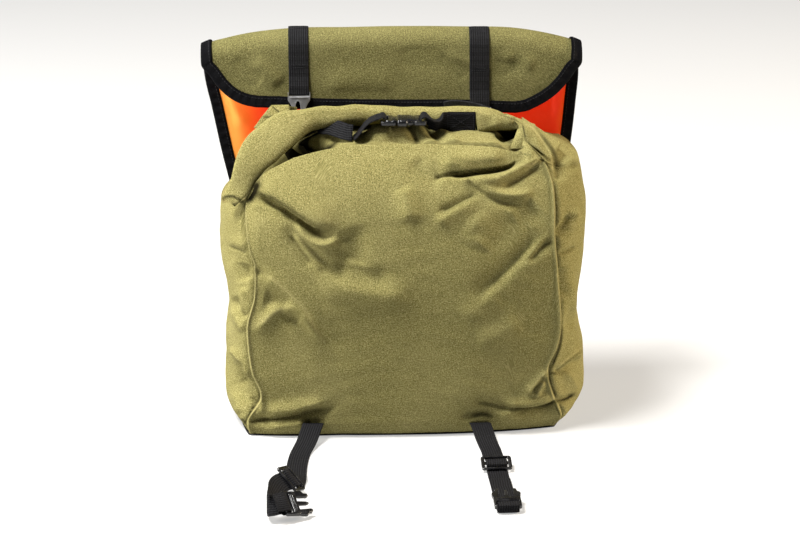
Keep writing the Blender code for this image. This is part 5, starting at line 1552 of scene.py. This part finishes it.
def moulding(name, plates, node, place=Matrix.Identity(4), finish=BLACK_PLASTIC, slot="black_plastic"):
    """Several plates as one piece, put in place and with its faces turned outwards."""
    joined = bmesh.new()
    for mesh in plates:
        joined.from_mesh(mesh)
        bpy.data.meshes.remove(mesh)
    bmesh.ops.remove_doubles(joined, verts=joined.verts, dist=0.00001)
    bmesh.ops.recalc_face_normals(joined, faces=joined.faces)
    joined.transform(place)
    made = bpy.data.meshes.new(name)
    joined.to_mesh(made)
    joined.free()
    made.shade_smooth()
    made.set_sharp_from_angle(angle=radians(35))
    print(name, len(made.polygons), "faces")
    link(name, made, finish, replaces=(node,), slot=slot)


def slider_plates():
    """A frame with two slots and three bars; the outer bars are a little thicker and ribbed."""
    frame_plate = plate([rectangle(0.029, 0.018, (0, 0), 0.0024),
                         rectangle(0.0225, 0.0053, (0, -0.00415), 0.0008),
                         rectangle(0.0225, 0.0053, (0, 0.00415), 0.0008)], -0.0011, 0.0011, 0.00045)
    bars = [plate([rectangle(0.026, 0.0014, (0, side * 0.0079), 0.0005)], 0.0006, 0.0016, 0.0003)
            for side in (-1, 1)]
    return [frame_plate] + bars


def rounded(outline):
    """Cuts the corners of a closed outline: at 0.22 and 0.78 of every side."""
    p = np.array(outline, float)
    q = np.roll(p, -1, 0)
    return [tuple(v) for v in np.stack([p * 0.78 + q * 0.22, p * 0.22 + q * 0.78], 1).reshape(-1, 2)]


def prong_plates():
    """Bar and slot for the webbing, a shouldered body, two sprung arms and a guide between them."""
    half, back, tip = 0.0125, -0.0145, 0.0145
    root = tip - 0.0165
    body = [(-half + 0.001, back), (half - 0.001, back), (half, back + 0.001), (half, root + 0.001),
            (half - 0.001, root + 0.0022), (-half + 0.001, root + 0.0022), (-half, root + 0.001),
            (-half, back + 0.001)]
    hole = rectangle(0.0212, 0.0048, (0, back + 0.0056), 0.0008)
    parts = [plate([body, hole], -0.0020, 0.0020, 0.0006)]
    arm = [(half - 0.0004, root), (half + 0.0006, root + 0.005), (half + 0.0010, root + 0.0085),
           (half - 0.0006, root + 0.0105), (half - 0.0022, root + 0.0112), (half - 0.0026, tip - 0.0012),
           (half - 0.0062, tip - 0.0012), (half - 0.0056, root + 0.008), (half - 0.0052, root)]
    for sign in (-1, 1):
        parts.append(plate([rounded([(sign * a, b) for a, b in arm])], -0.0019, 0.0019, 0.0006))
    guide = rounded([(-0.0022, root), (0.0022, root), (0.0016, tip - 0.0028), (-0.0016, tip - 0.0028)])
    parts.append(plate([guide], -0.0013, 0.0013, 0.0004))
    ribs = [rectangle(0.018, 0.0011, (0, root - 0.0009 - k * 0.0021), 0.0004) for k in range(2)]
    parts += [plate([rib], 0.0016, 0.0025, 0.0003) for rib in ribs]
    return parts


def lid_buckle_plates():
    """Two ears beside the webbing's end, a throat, an oval window and a raised rim round it."""
    right = [(0.0066, -0.018), (0.0066, 0.0030), (0.0084, 0.0066), (0.0110, 0.0106), (0.0110, 0.018),
             (0.0103, 0.018), (0.0103, 0.0145)]
    left = [(-a, b) for a, b in right[::-1]]
    turn = np.linspace(0, TURN, 20, endpoint=False)
    window, rim_out, rim_in = ([(-0.0010 + wide * cos(a), 0.0022 + tall * sin(a)) for a in turn]
                               for wide, tall in ((0.0025, 0.0074), (0.0036, 0.0087), (0.0029, 0.0078)))
    return [plate([right + left, window], -0.0025, 0.0025, 0.0006),
            plate([rim_out, rim_in], 0.0020, 0.0029, 0.00015),
            plate([rectangle(0.0180, 0.0012, (0, 0.0130), 0.0004)], 0.0020, 0.0031, 0.0003)]


for name, plates, place, node in (("slider_left", slider_plates, SLIDE_LEFT, "strap_slider_left"),
                                  ("slider_right", slider_plates, SLIDE_RIGHT, "strap_slider_right"),
                                  ("prongs_left", prong_plates, CLASP_LEFT, "strap_buckle_left"),
                                  ("prongs_right", prong_plates, CLASP_RIGHT, "strap_buckle_right")):
    moulding(name, plates(), node, place)
for side_name, place in LID_BUCKLES.items():
    moulding("lid_clip_" + side_name, lid_buckle_plates(), "lid_buckle_" + side_name, place, GREY_PLASTIC,
             "grey_plastic")

# %% [markdown]
# ## The buckle in the middle of the roll
# This is a fastened side-release buckle seen nearly edge on: a flat socket with a slit at each side,
# and in front of it the round shoulder of a sprung arm. Each body is lofted: a section that is
# between an ellipse and a rectangle (a superellipse), whose half sizes change along x.
# %% Lofted buckle halves
BUCKLE_Y, BUCKLE_Z = -0.028, 0.3035


def loft_along_x(name, stations, power, count=60, sides=40):
    """Superellipse sections: |y/b|^p + |z/c|^p = 1 with b and c read from a table along x."""
    x = curve_through(np.array(stations)[:, :1], count)[:, 0]
    turn = np.linspace(0, TURN, sides, endpoint=False)
    c, s = np.cos(turn), np.sin(turn)
    ring_y = np.sign(c) * np.abs(c) ** (2 / power)
    ring_z = np.sign(s) * np.abs(s) ** (2 / power)
    half_y, half_z = read(stations, 1, x)[:, None], read(stations, 2, x)[:, None]
    centre_y, centre_z = read(stations, 3, x)[:, None], read(stations, 4, x)[:, None]
    points = np.stack([x[:, None] + 0 * ring_y, centre_y + half_y * ring_y, centre_z + half_z * ring_z], -1)
    mesh = grid_mesh(name, points, ring=True, cap=True, flip=True)
    mesh.set_sharp_from_angle(angle=radians(45))
    return mesh


def centred(rows, y=BUCKLE_Y):
    """Rows of x and both half sizes, with the same middle for all."""
    return [(*row, y, BUCKLE_Z) for row in rows]


socket = centred((
    (-0.0040, 0.0105, 0.0024), (-0.0030, 0.0118, 0.0034), (0.0010, 0.0120, 0.0037), (0.0090, 0.0116, 0.0036),
    (0.0130, 0.0104, 0.0029), (0.0165, 0.0112, 0.0024), (0.0176, 0.0100, 0.0018),
))
front_y = BUCKLE_Y - 0.0108
button = centred((
    (-0.0042, 0.0006, 0.0008), (-0.0036, 0.0020, 0.0026), (-0.0010, 0.0029, 0.0036),
    (0.0022, 0.0030, 0.0037), (0.0052, 0.0024, 0.0030), (0.0066, 0.0008, 0.0010),
), front_y)
arm = (
    (-0.0160, 0.0008, 0.0012, front_y + 0.0010, BUCKLE_Z),
    (-0.0150, 0.0013, 0.0022, front_y + 0.0010, BUCKLE_Z),
    (-0.0100, 0.0015, 0.0025, front_y + 0.0004, BUCKLE_Z),
    (-0.0052, 0.0013, 0.0022, front_y + 0.0010, BUCKLE_Z),
    (-0.0044, 0.0007, 0.0010, front_y + 0.0010, BUCKLE_Z),
)
rib = [
    ((at - 0.0009, 0.0006, 0.0006, front_y + 0.0007, BUCKLE_Z + 0.0004),
     (at, 0.0013, 0.0025, front_y + 0.0003, BUCKLE_Z + 0.0004),
     (at + 0.0009, 0.0006, 0.0006, front_y + 0.0007, BUCKLE_Z + 0.0004)) for at in (0.0092, 0.0118, 0.0144)]
end_bar = [plate([rectangle(0.0120, 0.0245, (x, 0), 0.0020),
                  rectangle(0.0050, 0.0208, (x + slot, 0), 0.0008)],
                 -0.0019, 0.0019, 0.0005) for x, slot in ((0.0180, 0.0012), (-0.0134, -0.0012))]
for mesh in end_bar:
    mesh.transform(Matrix.Translation((0, BUCKLE_Y, BUCKLE_Z)))
prong_body = centred((
    (-0.0098, 0.0085, 0.0012), (-0.0090, 0.0094, 0.0020), (-0.0060, 0.0092, 0.0024),
    (-0.0044, 0.0084, 0.0020),
))
moulding("roll_buckle_socket", [loft_along_x("socket", socket, 3.2), loft_along_x("button", button, 2.2)]
         + [loft_along_x("rib", r, 2.0, 12, 16) for r in rib] + end_bar[:1], "collar_buckle_socket")
moulding("roll_buckle_prongs", [loft_along_x("prongs", prong_body, 3.0), loft_along_x("arm", arm, 2.2)]
         + end_bar[1:], "collar_buckle_prongs")

# %% [markdown]
# ## Tucks at both ends of the roll
# Where the roll ends, the spare canvas is pushed in by hand and makes small flat facets with sharp
# edges. Each facet is a patch: four corners seen in the photograph, with a depth for each, straight
# edges between them, and a little swell in the middle. They hide the raw ends of the roll. One more
# patch, a sheet of canvas painted as dark as the deepest crease, closes the slit under the roll: it is
# a painted shadow.
# %% Facets of tucked canvas
# four corners as pixel x, pixel y and depth y, going round; swell in the middle
TUCKS_RIGHT = (
    (((474, 111, -0.016), (514, 116, -0.016), (520, 129, -0.020), (478, 132, -0.019)), 0.004),
    (((505, 113, -0.010), (535, 124, -0.012), (553, 158, -0.040), (524, 130, -0.028)), 0.004),
    (((522, 117, 0.004), (562, 143, 0.000), (552, 158, -0.036), (528, 130, -0.018)), 0.003),
    (((517, 123, -0.027), (534, 132, -0.031), (551, 160, -0.048), (524, 140, -0.038)), 0.002),
    (((523, 138, -0.036), (543, 157, -0.050), (533, 165, -0.056), (520, 163, -0.052)), 0.003),
    (((517.5, 129, -0.027), (523, 126, -0.028), (525, 149, -0.041), (510, 149, -0.040)), 0.002),
)
# a flat sheet in the slit under the roll, all of it painted shade: a painted shadow
SHADOW_PATCH_BEHIND_ROLL = ((((280, 146, -0.006), (338, 112, 0.000), (340, 140, -0.002), (292, 166, -0.010)), 0.0),)
TUCKS_LEFT = (
    (((261, 117.5, -0.012), (271, 105.3, 0.000), (284, 115.5, -0.006), (277, 120, -0.012)), 0.0015),
    (((271, 105, 0.001), (289, 104.6, 0.002), (290.5, 114, -0.006), (282, 117, -0.010)), 0.0015),
    (((253.5, 128, -0.016), (261.3, 117.3, -0.013), (278, 118.5, -0.013), (266, 127, -0.020)), 0.0015),
    # a small patch beside the left clip, darkened by painted shade from FACET_CREASES to stand for the hollow
    # there
    (((288, 106, 0.003), (297, 107, 0.003), (297, 114, 0.001), (288, 115, 0.001)), 0.0),
)
# painted shade along the edges of the tucked facets and in the hollow by the left clip, and one painted
# highlight (the negative row) on a lit lip
FACET_CREASES = (
    (0.80, 0.7, 0.7, ((271, 105.5), (277, 110.5), (283, 115.5))),
    (0.65, 1.8, 0.8, ((262, 117), (268, 117.4), (275, 116.6))),
    (0.45, 1.6, 0.8, ((262, 126.5), (268, 122.5), (275, 119.4))),
    (0.90, 4.0, 4.0, ((289, 108), (293, 110), (297, 112))),
    (0.85, 0.8, 0.8, ((522.5, 124), (524, 131), (525.5, 139.5))),
    (0.60, 0.8, 0.8, ((498, 114), (507, 117), (515, 120), (522, 124))),
    (0.85, 1.0, 1.0, ((521.5, 149), (523.5, 145))),
    (-0.35, 0.8, 0.8, ((520, 152), (522, 147), (525.5, 141.5))),
    (0.35, 1.4, 1.4, ((521, 155), (527, 154), (533, 157))),
)


FACET_STEPS = 24


def facet(corners, swell):
    """Straight edges between four corners; (16 u(1-u)v(1-v))^0.7 gives the swell towards the eye."""
    place = np.array([seen_at(px, py, y) for px, py, y in corners])
    u, v = np.meshgrid(np.linspace(0, 1, FACET_STEPS), np.linspace(0, 1, FACET_STEPS))
    u, v = u[..., None], v[..., None]
    points = (place[0] * (1 - u) + place[1] * u) * (1 - v) + (place[3] * (1 - u) + place[2] * u) * v
    points = points + TO_EYE * (16 * u * (1 - u) * v * (1 - v)) ** 0.7 * swell
    return points + TO_EYE * (0.0010 * soft_noise(points, 55.0, 60))[..., None]


def facets_with_painted_shade(name, facets, dark):
    """Several facets as one piece of cloth; dark is painted shade that all of it has, on top of the painted
    shade of the creases.
    """
    whole, shades = bmesh.new(), []
    for corners, swell in facets:
        points = facet(corners, swell)
        shades.append((dark + crease_shade(points, TO_EYE + 0 * points, CREASES + FACET_CREASES)).ravel())
        part = grid_mesh(name, points, flip=True)
        whole.from_mesh(part)
        bpy.data.meshes.remove(part)
    mesh = bpy.data.meshes.new(name)
    whole.to_mesh(mesh)
    whole.free()
    piece = link(name, mesh, CANVAS, slot="olive_canvas", shade=np.concatenate(shades))
    thicken(piece, CLOTH)
    print(name, len(facets), "facets")


facets_with_painted_shade("tucks_right", TUCKS_RIGHT, 0.0)
facets_with_painted_shade("tucks_left", TUCKS_LEFT, 0.0)
# the sheet of painted shadow in the slit under the roll
facets_with_painted_shade("painted_shadow_behind_roll", SHADOW_PATCH_BEHIND_ROLL, 1.0)

# %% The hem's black edge on top of the roll
# pixel x, pixel y, depth y
HEM_EDGE = ((444, 102.0, 0.004), (452, 100.4, 0.004), (464, 101.2, 0.004), (478, 103.8, 0.003),
            (490, 108.0, 0.001))
top_line = curve_through(np.array([seen_at(px, py, y) for px, py, y in HEM_EDGE]), 60)
hem_points = top_line[None] + np.linspace(0, 1, 8)[:, None, None] * np.array((0.0, 0.0010, -0.0070))
hem = cloth_sheet("hem_edge", hem_points, THREAD, thick=0.0012, flip=True, slot="black_webbing")

# %% [markdown]
# ## The base
# The bag stands on one sheet of heavy black coated cloth, as flat as the floor under it, whose edge
# shows as a thin dark line below the front panel. Its section runs from the middle out along the
# underside, round a thin rim and back, and it is carried round the outline of the body.
# %% Base cloth
# share of the way from the middle to the outline, height
BASE_SECTION = (
    (0.02, 0.0), (0.30, 0.0), (0.60, 0.0), (0.85, 0.0), (0.98, 0.0), (0.996, 0.0003), (1.0, 0.0010),
    (0.996, 0.0017), (0.98, 0.0020), (0.85, 0.0020), (0.50, 0.0020), (0.02, 0.0020),
)
outline = body_point(np.linspace(0, 4, 360, endpoint=False), 0.0) * (1, 1, 0)
middle = outline.mean(0)
base_points = np.stack([middle + (outline - middle) * out + (0, 0, z) for out, z in BASE_SECTION])
base_mesh = grid_mesh("base_cloth", base_points, ring=True, cap=True, flip=True)
base_mesh.set_sharp_from_angle(angle=radians(50))
base_cloth = link("base_cloth", base_mesh, BASE_CLOTH, replaces=("base_panel",), slot="black_base")
print("base cloth", len(base_mesh.polygons), "faces")
